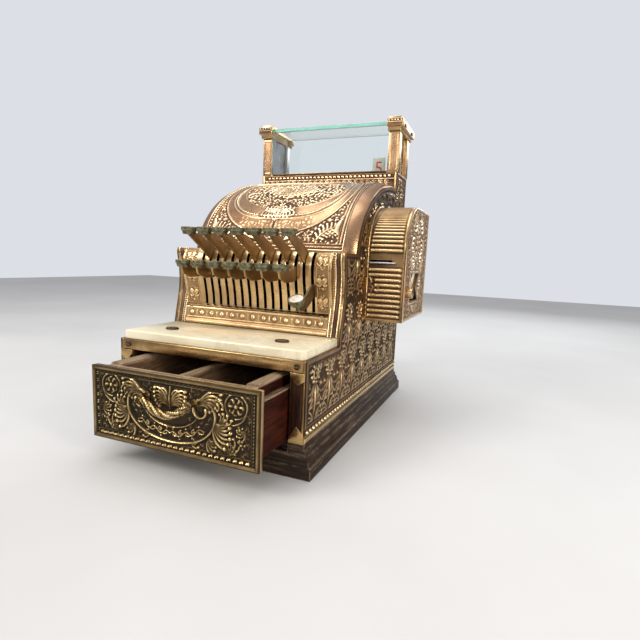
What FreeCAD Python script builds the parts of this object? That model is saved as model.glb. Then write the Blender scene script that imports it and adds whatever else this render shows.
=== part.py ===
"""A small ornate brass cash register of the antique shop-counter kind, with its drawer part open.

Millimetres, +Z up, +X to the right of a person at the keys, +Y towards the back.  Every piece is
drawn from the middle of the cabinet's front plane, on the table, and its Placement then moves
the middle of the base's footprint to the origin.
"""
import FreeCAD, Part
import Sketcher

import math
import os
import re

from FreeCAD import Placement, Rotation, Vector

SIZES = {
    # wooden base
    "base_height": 35.6,
    "base_side": 10.2,
    "base_front": 3.6,
    "base_rear": 8.2,
    "base_foot": 13.0,
    # cabinet walls
    "cabinet_width": 235.0,
    "cabinet_depth": 386.5,
    "wall": 3.0,
    "gap": 0.3,
    "cabinet_top": 359.0,
    # drawer and its bay
    "bay_width": 200.6,
    "bay_top": 108.8,
    "front_width": 199.8,
    "front_low": 25.9,
    "front_high": 103.0,
    "front_thick": 6.0,
    "drawer_open": 56.15,
    "drawer_depth": 300.0,
    "side_high": 91.0,
    "liner_high": 102.0,
    "board": 8.0,
    "liner_thick": 14.0,
    "floor_low": 38.0,
    "floor_high": 42.0,
    # marble shelf
    "shelf_low": 121.0,
    "shelf_high": 131.2,
    "shelf_width": 231.6,
    "shelf_deep": 92.8,
    # key bank
    "ledge_high": 229.0,
    "ledge_back": 141.0,
    "bank_width": 202.0,
    "bank_foot": 93.6,
    "slot_low": 157.5,
    "slot_wide": 4.0,
    "key_pitch": 10.88,
    "key_first": -71.6,
    "key_thick": 2.2,
    "pivot_back": 168.0,
    "pivot_high": 180.0,
    "pivot_radius": 3.0,
    "disc_radius": 9.2,
    "disc_thick": 7.6,
    "fit": 0.05,
    # lid arch
    "arch_back": 315.0,
    "arch_centre": 214.0,
    "arch_long": 185.0,
    "arch_tall": 124.0,
    "edge_long": 176.5,
    "edge_tall": 120.0,
    "field_half": 105.0,
    "hinge_back": 318.3,
    "hinge_high": 333.0,
    "hinge_radius": 2.5,
    # indicator box
    "sill_low": 338.0,
    "sill_high": 362.0,
    "sill_front": 323.5,
    "window_half": 101.0,
    "column_half": 118.5,
    "column_rear": 392.0,
    "cap_low": 420.0,
    "cap_high": 440.6,
    "cap_half": 123.2,
    "cap_front": 315.3,
    "cap_rear": 405.0,
    "pane_low": 430.0,
    "pane_high": 435.0,
    "tablet_row": 350.0,
    "row_step": 14.0,
    "tablet_wide": 20.4,
    "tablet_thick": 1.5,
    "tablet_low": 326.0,
    "tablet_tall": 34.0,
    "tablet_raised": 27.0,
    "rod_low": 194.5,
    "rod_radius": 1.5,
    # printer box on the right side
    "printer_front": 178.0,
    "printer_rear": 322.0,
    "printer_low": 144.0,
    "printer_top": 295.0,
    "printer_side": 170.0,
    "printer_round": 60.0,
    "cover_pin_back": 315.5,
    "cover_pin_high": 290.5,
    "cover_pin_radius": 1.5,
}

document = FreeCAD.newDocument("CashRegister")
sheet = document.addObject("Spreadsheet::Sheet", "Sizes")
for row, (alias, number) in enumerate(SIZES.items(), start=1):
    sheet.set(f"A{row}", alias.replace("_", " "))
    sheet.set(f"B{row}", str(number))
    sheet.setAlias(f"B{row}", alias)
document.recompute()

sub_parts = []
front_offsets = {}
CENTRE_SHIFT = "(base_rear - base_front + cabinet_depth) / 2"


def size(alias):
    """The number in a cell of the sheet."""
    return float(sheet.get(alias))


def linked(expression):
    """An expression in the sheet's aliases, written as the document's objects read it."""
    return re.sub(r"[a-z][a-z_]*", r"Sizes.\g<0>", str(expression))


def worked_out(expression):
    """The number that an expression in the sheet's aliases comes to."""
    return float(sheet.evalExpression(linked(expression)))


def finish(thing, label):
    """Name a sub-part and move it from the cabinet's front plane to the base's centre."""
    front = front_offsets.get(thing.Name, "0")
    thing.Label = label
    thing.setExpression("Placement.Base.y", linked(f"({front}) - {CENTRE_SHIFT}"))
    sub_parts.append(thing)
    return thing


def block(name, x, y, z):
    """A box between a low and a high expression along each axis."""
    box = document.addObject("Part::Box", name)
    for side, axis, (low, high) in zip(("Length", "Width", "Height"), "xyz", (x, y, z)):
        box.setExpression(side, linked(f"({high}) - ({low})"))
        box.setExpression(f"Placement.Base.{axis}", linked(low))
    front_offsets[box.Name] = y[0]
    return box


def rod(name, radius, start, length, axis):
    """A cylinder of an expression's radius and length from a start point along one axis."""
    cylinder = document.addObject("Part::Cylinder", name)
    turns = {"x": Rotation(Vector(0, 1, 0), 90), "y": Rotation(Vector(1, 0, 0), -90), "z": Rotation()}
    cylinder.Placement = Placement(Vector(), turns[axis])
    cylinder.setExpression("Radius", linked(radius))
    cylinder.setExpression("Height", linked(length))
    for place, expression in zip("xyz", start):
        cylinder.setExpression(f"Placement.Base.{place}", linked(expression))
    front_offsets[cylinder.Name] = start[1]
    return cylinder


def fused(name, pieces):
    """Several shapes made one."""
    result = document.addObject("Part::MultiFuse", name)
    result.Shapes = pieces
    return result


def cut(name, base, tool):
    """A shape with another taken out of it."""
    result = document.addObject("Part::Cut", name)
    result.Base = base
    result.Tool = tool
    return result


def gathered(name, pieces):
    """Separate solids kept side by side in one sub-part."""
    result = document.addObject("Part::Compound", name)
    result.Links = pieces
    return result


def solid(name, shape):
    """A shape made in code, kept as an object of the document."""
    result = document.addObject("Part::Feature", name)
    result.Shape = shape
    return result


PLANES = {"top": "XY_Plane", "side": "YZ_Plane", "front": "XZ_Plane"}


def attached_sketch(body, name, plane, offset="0"):
    """An empty sketch on one of a body's own origin planes."""
    sketch = body.newObject("Sketcher::SketchObject", name)
    origin_plane = next(item for item in body.Origin.OriginFeatures if item.Role == PLANES[plane])
    sketch.AttachmentSupport = (origin_plane, [""])
    sketch.MapMode = "FlatFace"
    sketch.setExpression("AttachmentOffset.Base.z", linked(offset))
    return sketch


def pin_point(sketch, item, point, place):
    """Hold one point of a sketch's item at a pair of expressions."""
    for kind, expression in zip(("DistanceX", "DistanceY"), place):
        value = worked_out(expression)
        number = sketch.addConstraint(Sketcher.Constraint(kind, -1, 1, item, point, value))
        sketch.setExpression(f"Constraints[{number}]", linked(expression))


def outline_body(name, plane, corners, low, high):
    """A body padded from low to high off a plane of the origin, inside straight-sided corners."""
    body = document.addObject("PartDesign::Body", name)
    backwards = plane == "front"
    sketch = attached_sketch(body, f"{name}_outline", plane, f"-({low})" if backwards else low)
    places = [Vector(worked_out(across), worked_out(along), 0) for across, along in corners]
    count = len(places)
    for index in range(count):
        sketch.addGeometry(Part.LineSegment(places[index], places[(index + 1) % count]), False)
    for index in range(count):
        sketch.addConstraint(Sketcher.Constraint("Coincident", index, 2, (index + 1) % count, 1))
    for index, corner in enumerate(corners):
        pin_point(sketch, index, 1, corner)
    pad = body.newObject("PartDesign::Pad", f"{name}_pad")
    pad.Profile = sketch
    pad.Reversed = backwards
    pad.setExpression("Length", linked(f"({high}) - ({low})"))
    body.Tip = pad
    return body


def drilled(body, name, plane, centres, radius):
    """Round holes through a body, along the normal of one of its origin planes."""
    sketch = attached_sketch(body, f"{name}_circles", plane)
    for index, (across, along) in enumerate(centres):
        centre = Vector(worked_out(across), worked_out(along), 0)
        sketch.addGeometry(Part.Circle(centre, Vector(0, 0, 1), worked_out(radius)), False)
        pin_point(sketch, index, 3, (across, along))
        number = sketch.addConstraint(Sketcher.Constraint("Radius", index, worked_out(radius)))
        sketch.setExpression(f"Constraints[{number}]", linked(radius))
    document.recompute()
    before = body.Shape.Volume
    pocket = body.newObject("PartDesign::Pocket", f"{name}_holes")
    pocket.Profile = sketch
    pocket.Type = "ThroughAll"
    pocket.Midplane = True
    body.Tip = pocket
    document.recompute()
    if body.Shape.Volume >= before:
        raise RuntimeError(f"{name}: the holes took nothing away")
    return body


def side_face(edges, x):
    """The face inside closed edges drawn in the side view, moved to a place along X."""
    wire = Part.Wire(Part.__sortEdges__(edges))
    face = Part.Face(wire)
    face.translate(Vector(x, 0, 0))
    return face


def side_edges(points):
    """Straight edges through (y, z) points of the side view, one after another."""
    corners = [Vector(0, y, z) for y, z in points]
    return [Part.LineSegment(a, b).toShape() for a, b in zip(corners, corners[1:])]


def side_curve(points):
    """One smooth edge through (y, z) points of the side view."""
    spline = Part.BSplineCurve()
    spline.interpolate([Vector(0, y, z) for y, z in points])
    return spline.toShape()


def side_prism(points, low, high):
    """A solid of straight-sided outline in the side view, between two places along X."""
    return side_face(side_edges(points + points[:1]), low).extrude(Vector(high - low, 0, 0))


# ---------------------------------------------------------------- wooden base

def make_base():
    """The moulded walnut base, rebated in front for the drawer's hanging lower edge."""
    def moulding(low, high, inset_low, inset_high):
        """Corners of a section that steps in from foot to top by three small ledges with slopes between."""
        steps = (("0", 0.0), ("base_foot", 0.0), ("base_foot + 0.5", 0.16), ("base_foot + 4", 0.3),
                 ("base_height - 12.5", 0.46), ("base_height - 12", 0.62), ("base_height - 6", 0.7),
                 ("base_height - 5.5", 0.88), ("base_height", 0.88))
        left = [(f"{low} + ({inset_low}) * {part}", z) for z, part in steps]
        right = [(f"{high} - ({inset_high}) * {part}", z) for z, part in reversed(steps)]
        return left + right

    long_low = "-base_front"
    long_high = "(cabinet_depth + base_rear)"
    long_corners = moulding(long_low, long_high, "base_front", "base_rear")
    half = "(cabinet_width / 2 + base_side)"
    long_section = outline_body("BaseLong", "side", long_corners, f"-{half}", half)
    cross_corners = moulding(f"-{half}", half, "base_side", "base_side")
    cross_section = outline_body("BaseCross", "front", cross_corners, "-base_front - 1",
                                 "cabinet_depth + base_rear + 1")
    moulded = document.addObject("Part::Common", "BaseMoulded")
    moulded.Base = long_section
    moulded.Tool = cross_section
    rebate = block("BaseRebate", ("-bay_width / 2", "bay_width / 2"),
                   ("-base_front - 1", "front_thick + 0.5"), ("front_low - 0.5", "base_height + 1"))
    finish(cut("BaseRebated", moulded, rebate), "wood_base")


# ---------------------------------------------------------------- cabinet castings

def arch_arc(long_axis, tall_axis, low, back):
    """The arch's ellipse in the side view, from a height at the front to a place at the back."""
    centre = Vector(0, size("arch_back"), size("arch_centre"))
    front = centre + Vector(0, -long_axis, 0)
    top = centre + Vector(0, 0, tall_axis)
    ellipse = Part.Ellipse(front, top, centre)
    first = math.asin((low - centre.z) / tall_axis)
    last = math.acos((centre.y - back) / long_axis)
    return Part.Arc(ellipse, first, last).toShape()


def bank_profile():
    """The cast side's edge beside the key bank, from the shelf up to the ledge."""
    foot = size("bank_foot")
    ledge = size("ledge_high")
    return [(foot, size("shelf_high") + 0.1), (96.7, 146), (99.9, 160), (103.2, 178),
            (103.6, 196), (101.5, 212), (99.3, 222), (100.5, ledge)]


def side_panel_shape(inner, outer):
    """A cast side: front edge, shelf, key bank, arch, indicator shoulder and back in one outline."""
    base = size("base_height")
    top = size("cabinet_top")
    ledge = size("ledge_high")
    clear = size("wall") + 0.4
    arc = arch_arc(size("edge_long") - clear, size("edge_tall") - clear, ledge, size("arch_back"))
    arc_start = arc.Vertexes[0].Point
    arc_end = arc.Vertexes[-1].Point
    if arc_start.z > arc_end.z:
        arc_start, arc_end = arc_end, arc_start
    bank = bank_profile()
    edges = side_edges([(size("cabinet_depth"), top), (size("cabinet_depth"), base), (0, base),
                        (0, size("shelf_low")), (bank[0][0], size("shelf_low")), bank[0]])
    edges.append(side_curve(bank))
    edges += side_edges([bank[-1], (arc_start.y, arc_start.z)])
    edges.append(arc)
    shoulder = (size("arch_back") + 2, arc_end.z)
    edges += side_edges([(arc_end.y, arc_end.z), shoulder, (size("sill_front"), size("sill_low") + 4),
                         (size("sill_front"), top), (size("cabinet_depth"), top)])
    return side_face(edges, inner).extrude(Vector(outer - inner, 0, 0))


def make_cabinet():
    """Cast sides, back, posts, rail, brackets, shelf and the board over the drawer."""
    half = size("cabinet_width") / 2
    wall = size("wall")
    finish(solid("SideLeft", side_panel_shape(-half, wall - half)), "side_panel_left")
    finish(solid("SideRight", side_panel_shape(half - wall, half)), "side_panel_right")
    inside = ("wall + gap - cabinet_width / 2", "cabinet_width / 2 - wall - gap")
    finish(block("Back", inside, ("cabinet_depth - wall", "cabinet_depth"),
                 ("base_height", "cabinet_top - gap")), "back_panel")
    posts = []
    for name, reach in (("Left", inside[0]), ("Right", inside[1])):
        edge = "-bay_width / 2" if name == "Left" else "bay_width / 2"
        span = (reach, edge) if name == "Left" else (edge, reach)
        posts.append(block(f"Post{name}", span, ("0.2", "12"), ("base_height", "bay_top")))
    finish(gathered("Posts", posts), "drawer_posts")
    finish(block("Rail", inside, ("0", "wall"), ("bay_top", "shelf_low")), "front_rail")
    finish(block("Deck", inside, ("wall", "cabinet_depth - wall"), ("bay_top + 0.2", "shelf_low")),
           "mechanism_deck")
    shelf = outline_body("Shelf", "top", [
        ("-shelf_width / 2", "4"), ("4 - shelf_width / 2", "0.7"), ("shelf_width / 2 - 4", "0.7"),
        ("shelf_width / 2", "4"), ("shelf_width / 2", "shelf_deep"),
        ("-shelf_width / 2", "shelf_deep")], "shelf_low", "shelf_high")
    finish(shelf, "marble_shelf")
    rosettes = []
    for side in (-1, 1):
        ellipse = Part.Ellipse(Vector(0, 0, 0), 8.0, 6.5).toShape()
        oval = Part.Face(Part.Wire(ellipse)).extrude(Vector(0, 0, 1.4))
        oval.translate(Vector(side * 73, 34.5, size("shelf_high")))
        rosettes.append(oval)
    finish(solid("Rosettes", Part.makeCompound(rosettes)), "shelf_rosettes")


def make_brackets():
    """Four three-cornered brass plates on the posts' corners."""
    plates = []
    outer = "cabinet_width / 2 - 0.3"
    inner = "bay_width / 2 + 0.7"
    for side in (-1, 1):
        for height, rise in (("base_height + 0.2", "18"), ("bay_top - 0.2", "-13")):
            low = Vector(side * worked_out(inner), 0, worked_out(height))
            far = Vector(side * worked_out(outer), 0, worked_out(height))
            lift = Vector(0, 0, float(rise))
            tip = (low + far) * 0.5 + lift
            wire = Part.makePolygon([low, far, far + lift * 0.55, tip, low + lift * 0.3, low])
            plates.append(Part.Face(wire).extrude(Vector(0, -1.2, 0)))
    finish(solid("Brackets", Part.makeCompound(plates)), "corner_brackets")


def screw_heads():
    """Slotted screw heads on the rail, the moulding, the caps and the back."""
    places = []
    for side in (-1, 1):
        places.append((Vector(side * 108, 0, 115), Vector(0, -1, 0), 3.4))
        places.append((Vector(side * 93, 96.6, 152), Vector(0, -1, 0), 2.6))
        for along in (335, 385):
            places.append((Vector(side * size("cap_half"), along, 430), Vector(side, 0, 0), 3.0))
        for height in (60, 200, 340):
            places.append((Vector(side * 106, size("cabinet_depth"), height), Vector(0, 1, 0), 3.4))
    heads = []
    for place, facing, radius in places:
        head = Part.makeCylinder(radius, 1.4, place, facing)
        slot = Part.makeBox(2.2 * radius, 0.8, 1.2, Vector(-1.1 * radius, -0.4, 0.8))
        slot.Placement = Placement(place, Rotation(Vector(0, 0, 1), facing))
        heads.append(head.cut(slot))
    finish(solid("Screws", Part.makeCompound(heads)), "cabinet_screws")


# ---------------------------------------------------------------- key bank

KEY_COUNT = 15


def key_x(index):
    """The place of one key along the shaft."""
    return size("key_first") + index * size("key_pitch")


def make_key_bank():
    """The slotted front casting with its ledge, and the moulding along its foot."""
    half = size("cabinet_width") / 2 - size("wall") - size("gap")
    bank_half = size("bank_width") / 2
    wall = size("wall")
    ledge = size("ledge_high")
    back = size("ledge_back")

    def shell(front, low, high):
        """A wall that follows a front curve, with the ledge behind it."""
        inner = [(y + wall, z) for y, z in front[:-1]] + [(front[-1][0] + wall, ledge - wall)]
        edges = [side_curve(front)]
        edges += side_edges([front[-1], (back, ledge), (back, ledge - wall), inner[-1]])
        edges.append(side_curve(inner))
        edges += side_edges([inner[0], front[0]])
        return side_face(edges, low).extrude(Vector(high - low, 0, 0))

    plain = bank_profile()
    bulge = [(101, plain[0][1]), (101, 157), (99, 173), (94.7, 191), (92, 205), (92.6, 216),
             (95.6, 223), (101.5, ledge)]
    bank = shell(plain, -half, -bank_half)
    bank = bank.fuse(shell(plain, bank_half, half))
    bank = bank.fuse(shell(bulge, -bank_half, bank_half))
    for low in (-bank_half - wall, bank_half):
        cheek = bulge + [(110, ledge), (110, plain[0][1])]
        bank = bank.fuse(side_prism(cheek, low, low + wall))
    for index in range(KEY_COUNT):
        width = size("slot_wide")
        slot = Part.makeBox(width, 30, ledge + 5 - size("slot_low"),
                            Vector(key_x(index) - width / 2, 84, size("slot_low")))
        bank = bank.cut(slot)
    finish(solid("KeyBank", bank.removeSplitter()), "keybank_front")
    finish(outline_body("Moulding", "side", [
        ("bank_foot + 0.2", "shelf_high + 0.1"), ("bank_foot + 0.2", "shelf_high + 4"),
        ("bank_foot + 2", "shelf_high + 6"), ("bank_foot + 3", "shelf_high + 17"),
        ("bank_foot + 3", "shelf_high + 24"), ("bank_foot + 7", "shelf_high + 26"),
        ("bank_foot + 7", "shelf_high + 0.1")], "-bank_width / 2", "bank_width / 2"),
        "keybank_molding")


def key_disc(centre, tilt):
    """A cup-shaped finger disc, narrower below, tilted forward by an angle."""
    radius = size("disc_radius")
    thick = size("disc_thick")
    disc = Part.makeCone(radius - 2, radius, thick, Vector(0, 0, -thick / 2))
    disc.Placement = Placement(centre, Rotation(Vector(1, 0, 0), tilt))
    return disc


def key_shape(index):
    """One key: finger disc, bent lever through its slot, boss on the shaft and a rear arm."""
    x = key_x(index)
    thick = size("key_thick")
    pivot = Vector(x, size("pivot_back"), size("pivot_high"))
    rear = size("tablet_row") + 4 + (index % 2) * size("row_step")
    arm = [(pivot.y, pivot.z - 7), (pivot.y + 6, pivot.z - 4), (rear, pivot.z + 6),
           (rear, pivot.z + 14), (pivot.y + 6, pivot.z + 8), (pivot.y - 2, pivot.z + 7)]
    if index == KEY_COUNT - 1:
        lever = [(54, 165.5), (60, 162.6), (67, 162), (73, 163), (79.2, 165.2), (84, 167.3), (89, 169.8),
                 (93, 172.6), (97.3, 176), (101, 177.8), (160, 173)]
        lever += arm + [(140, 190), (100, 192), (93, 190.2), (88, 188.6), (84.2, 186.7), (80.5, 183.7),
                        (75.8, 180.3), (70.2, 178), (62, 177.5), (56, 176.5)]
        disc = key_disc(Vector(x, 52.5, 174), 28)
    elif index % 2:
        lever = [(46, 244.5), (78, 225), (86, 218.5), (96, 214), (108, 206.5), (162, 175.5)]
        lever += arm + [(112, 221), (105, 228.5), (71, 245), (60, 246.5)]
        disc = key_disc(Vector(x, 50, 247.5), 0)
    else:
        lever = [(48, 206.5), (52, 197.5), (66, 192.7), (84, 193.3), (97, 196), (160, 174.5)]
        lever += arm + [(110, 207.5), (96, 212), (75, 206.5), (60, 207.5)]
        disc = key_disc(Vector(x, 53, 209), 0)
    blade = side_prism(lever, x - thick / 2, x + thick / 2)
    boss = Part.makeCylinder(8, 9.8, pivot - Vector(4.9, 0, 0), Vector(1, 0, 0))
    bore = Part.makeCylinder(size("pivot_radius") + size("fit"), 14, pivot - Vector(7, 0, 0),
                             Vector(1, 0, 0))
    return blade.fuse([disc, boss]).cut(bore)


def make_keys():
    """Seven lower keys, seven upper keys between them, and the release key at the right."""
    for index in range(KEY_COUNT):
        name = "release_key" if index == KEY_COUNT - 1 else f"key_{index + 1:02d}"
        finish(solid(f"Key{index + 1}", key_shape(index)), name)


def make_tablets():
    """The indicator tablets, two staggered rows, each on a rod over its key's rear arm."""
    for index in range(KEY_COUNT):
        x = f"(key_first + {index} * key_pitch)"
        row = f"(tablet_row + {index % 2} * row_step)"
        low = "tablet_low + tablet_raised" if index == KEY_COUNT - 1 else "tablet_low"
        plate = block(f"TabletPlate{index + 1}", (f"{x} - tablet_wide / 2", f"{x} + tablet_wide / 2"),
                      (f"{row} - tablet_thick / 2", f"{row} + tablet_thick / 2"),
                      (low, f"{low} + tablet_tall"))
        stem = rod(f"TabletRod{index + 1}", "rod_radius", (x, row, "rod_low"),
                   f"{low} - rod_low + 1", "z")
        finish(fused(f"Tablet{index + 1}", [plate, stem]), f"tablet_{index + 1:02d}")


def make_mechanism():
    """Frames, shafts, adding wheels and the plate that guides the tablets' rods."""
    frames = []
    wheel_centre = ("235", "262")
    for name, low in (("Left", "-107"), ("Right", "104")):
        corners = [("135", "shelf_low"), ("376", "shelf_low"), ("376", "300"), ("230", "300"),
                   ("170", "262"), ("150", "235"), ("135", "215")]
        frame = outline_body(f"Frame{name}", "side", corners, low, f"{low} + 3")
        drilled(frame, f"Frame{name}Bores", "side",
                [("pivot_back", "pivot_high"), wheel_centre], "pivot_radius + fit")
        frames.append(frame)
    guide = outline_body("RodGuide", "top", [("-103.9", "340"), ("103.9", "340"), ("103.9", "375"),
                                             ("-103.9", "375")], "262", "265")
    holes = []
    for index in range(KEY_COUNT):
        holes.append((f"key_first + {index} * key_pitch", f"tablet_row + {index % 2} * row_step"))
    drilled(guide, "RodHoles", "top", holes, "rod_radius + 0.1")
    frames.append(guide)
    finish(gathered("Frames", frames), "mechanism_frame")
    shafts = [rod("KeyShaft", "pivot_radius", ("-109", "pivot_back", "pivot_high"), "218", "x"),
              rod("WheelShaft", "pivot_radius", ("-109", "235", "262"), "218", "x")]
    finish(gathered("Shafts", shafts), "cross_shafts")
    hub = rod("WheelHub", "7", ("-70", "235", "262"), "140", "x")
    wheels = [hub]
    for number in range(7):
        wheels.append(rod(f"Wheel{number + 1}", "18", (f"-67 + {number} * 20", "235", "262"), "14", "x"))
    bore = rod("WheelBore", "pivot_radius + fit", ("-80", "235", "262"), "160", "x")
    finish(cut("AddingWheels", fused("WheelStack", wheels), bore), "counter_wheels")


# ---------------------------------------------------------------- lid

def arch_solid(inset, low, back):
    """Everything under the arch, with its edge bands falling away to the cabinet's sides."""
    field = size("field_half")
    half = size("cabinet_width") / 2

    def section(long_axis, tall_axis, x):
        """The closed outline under one ellipse at a place along X."""
        arc = arch_arc(long_axis - inset, tall_axis - inset, low, back)
        ends = sorted((vertex.Point for vertex in arc.Vertexes), key=lambda point: point.y)
        corner = (ends[1].y, low)
        edges = [arc] + side_edges([(ends[1].y, ends[1].z), corner, (ends[0].y, ends[0].z)])
        return side_face(edges, x).OuterWire

    middle = section(size("arch_long"), size("arch_tall"), -field)
    body = Part.Face(middle).extrude(Vector(2 * field, 0, 0))
    for side in (-1, 1):
        inner_wire = section(size("arch_long"), size("arch_tall"), side * field)
        outer_wire = section(size("edge_long"), size("edge_tall"), side * half)
        body = body.fuse(Part.makeLoft([inner_wire, outer_wire], True, True))
    return body


def make_lid():
    """The arched lid, its hinge knuckles, and the rod that they turn on."""
    low = size("ledge_high") + size("gap")
    back = size("arch_back")
    outside = arch_solid(0, low, back)
    inside = arch_solid(size("wall"), low - 2, back + 2)
    lid = outside.cut(inside)
    axis = Vector(0, size("hinge_back"), size("hinge_high"))
    for x in (-80, -10, 60):
        knuckle = Part.makeCylinder(4, 20, axis + Vector(x, 0, 0), Vector(1, 0, 0))
        leaf = Part.makeBox(20, 12, 3.4, Vector(x, back - 9, 331.9))
        lid = lid.fuse([knuckle, leaf])
    bore = Part.makeCylinder(size("hinge_radius") + size("fit"), 240, axis - Vector(120, 0, 0),
                             Vector(1, 0, 0))
    finish(solid("Lid", lid.cut(bore).removeSplitter()), "lid")
    finish(rod("HingeRod", "hinge_radius", ("-114.4", "hinge_back", "hinge_high"), "228.8", "x"),
           "lid_hinge_rod")


# ---------------------------------------------------------------- indicator box

def make_indicator():
    """Sill, side columns, caps and glass of the window over the lid."""
    front = block("SillFront", ("-114.2", "114.2"), ("sill_front", "sill_front + 3"),
                  ("sill_low", "cabinet_top"))
    lower = block("SillLower", ("-114.2", "114.2"), ("sill_front", "cabinet_depth - wall - gap"),
                  ("cabinet_top - 3", "cabinet_top"))
    upper = block("SillUpper", ("-window_half + 0.2", "window_half - 0.2"),
                  ("sill_front", "cabinet_depth - wall - gap"), ("cabinet_top - 3", "sill_high"))
    slots = []
    for row in range(2):
        middle = f"(tablet_row + {row} * row_step)"
        first = "key_first - tablet_wide / 2 - 0.6"
        last = f"key_first + {KEY_COUNT - 1} * key_pitch + tablet_wide / 2 + 0.6"
        slots.append(block(f"SillSlot{row + 1}", (first, last),
                           (f"{middle} - tablet_thick / 2 - 0.4", f"{middle} + tablet_thick / 2 + 0.4"),
                           ("cabinet_top - 5", "sill_high + 2")))
    for index in range(KEY_COUNT):
        start = (f"key_first + {index} * key_pitch", f"tablet_row + {index % 2} * row_step",
                 "cabinet_top - 5")
        slots.append(rod(f"SillBore{index + 1}", "rod_radius + 0.4", start, "12", "z"))
    finish(cut("Sill", fused("SillBlank", [front, lower, upper]), fused("SillSlots", slots)),
           "indicator_sill")
    columns = []
    caps = []
    for side in (-1, 1):
        name = "Left" if side < 0 else "Right"

        def across(near, far, sign=side):
            """A span along X on this side, low value first."""
            return (f"-({far})", f"-({near})") if sign < 0 else (near, far)

        span = across("window_half", "column_half")
        columns.append(fused(f"Column{name}", [
            block(f"ColumnFront{name}", span, ("sill_front", "sill_front + 15"),
                  ("cabinet_top + 0.2", "cap_low")),
            block(f"ColumnRear{name}", span, ("column_rear - 15", "column_rear"),
                  ("cabinet_top + 0.2", "cap_low")),
            block(f"ColumnPlate{name}", across("window_half + 3", "column_half - 6"),
                  ("sill_front + 15", "column_rear - 15"), ("cabinet_top + 0.2", "cap_low"))]))
        caps.append(fused(f"Cap{name}", [
            block(f"CapNeck{name}", across("window_half - 1", "cap_half - 3"),
                  ("cap_front + 3.5", "cap_rear - 6"), ("cap_low", "cap_low + 6")),
            block(f"CapBody{name}", across("window_half - 2", "cap_half"),
                  ("cap_front", "cap_rear"), ("cap_low + 6", "cap_high - 4")),
            block(f"CapTop{name}", across("window_half", "cap_half - 3"),
                  ("cap_front + 3", "cap_rear - 3"), ("cap_high - 4", "cap_high"))]))
    finish(gathered("Columns", columns), "indicator_frames")
    pane_span = ("-window_half + 0.3", "window_half - 0.3")
    notch = block("CapNotch", ("-window_half - 0.1", "window_half + 0.1"),
                  ("sill_front", "column_rear"), ("pane_low - 30", "pane_high + 0.2"))
    finish(cut("CapsNotched", gathered("Caps", caps), notch), "indicator_caps")
    panes = [block("PaneFront", pane_span, ("sill_front + 1.5", "sill_front + 4.5"),
                   ("sill_high", "pane_low")),
             block("PaneRear", pane_span, ("cabinet_depth - 6.8", "cabinet_depth - 3.8"),
                   ("sill_high", "pane_low")),
             block("PaneTop", pane_span, ("sill_front + 0.5", "cabinet_depth - 1"),
                   ("pane_low", "pane_high"))]
    finish(gathered("Glass", panes), "indicator_glass")


# ---------------------------------------------------------------- drawer

def make_drawer():
    """The cast drawer front, the wooden box behind it and the swag handle."""
    face = "-drawer_open"
    behind = "(front_thick - drawer_open)"
    rear = f"({behind} + drawer_depth)"
    finish(outline_body("DrawerFront", "top", [
        ("-front_width / 2", face), ("front_width / 2", face), ("front_width / 2", behind),
        ("-front_width / 2", behind)], "front_low", "front_high"), "drawer_front")
    outer = "front_width / 2 - 1.9"
    liner = f"{outer} - board"
    inner = f"{liner} - liner_thick"
    low = "base_height + 0.5"
    boards = []
    for name, sign in (("Left", -1), ("Right", 1)):
        for kind, near, far, high in (("Side", liner, outer, "side_high"),
                                      ("Liner", inner, liner, "liner_high")):
            span = (f"-({far})", f"-({near})") if sign < 0 else (near, far)
            boards.append(block(f"Drawer{kind}{name}", span, (behind, rear), (low, high)))
    across = (f"-({inner})", inner)
    boards.append(block("DrawerNose", across, (behind, f"{behind} + board"), (low, "liner_high")))
    boards.append(block("DrawerTail", across, (f"{rear} - board", rear), (low, "liner_high")))
    boards.append(block("DrawerFloor", across, (f"{behind} + board", f"{rear} - board"),
                        ("floor_low", "floor_high")))
    boards.append(block("DividerLong", ("-5", "5"), (f"{behind} + board", f"{rear} - board"),
                        ("floor_high", "liner_high - 3")))
    finish(gathered("DrawerBoards", boards), "drawer_box")
    plane = -size("drawer_open") - 11
    half_span = 29
    arc = Part.Arc(Vector(-half_span, plane, 82), Vector(2, plane, 66), Vector(half_span, plane, 82))
    section = Part.makeCircle(3.4, Vector(-half_span, plane, 82), arc.tangent(arc.FirstParameter)[0])
    bar = Part.Wire([arc.toShape()]).makePipe(Part.Face(Part.Wire(section)))
    pull = bar
    for side in (-1, 1):
        place = Vector(side * half_span, -size("drawer_open"), 82)
        post = Part.makeCylinder(4.2, 13.5, place, Vector(0, -1, 0))
        pull = pull.fuse(post)
    finish(solid("Pull", pull), "drawer_pull")


# ---------------------------------------------------------------- printer

def printer_outline(inset, low):
    """The printer box's rounded side outline, drawn in by an inset, down to a height."""
    front = size("printer_front") + inset
    rear = size("printer_rear") - inset
    top = size("printer_top") - inset
    radius = size("printer_round") - inset
    bend = Vector(0, front + radius, top - radius)
    middle = bend + Vector(0, -radius, radius) * math.sqrt(0.5)
    arc = Part.Arc(Vector(0, front, bend.z), middle, Vector(0, bend.y, top)).toShape()
    edges = side_edges([(bend.y, top), (rear, top), (rear, low), (front, low), (front, bend.z)])
    return edges + [arc]


def printer_solid(inset, low, x_low, x_high):
    """The printer box's outline between two places along X."""
    return side_face(printer_outline(inset, low), x_low).extrude(Vector(x_high - x_low, 0, 0))


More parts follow.
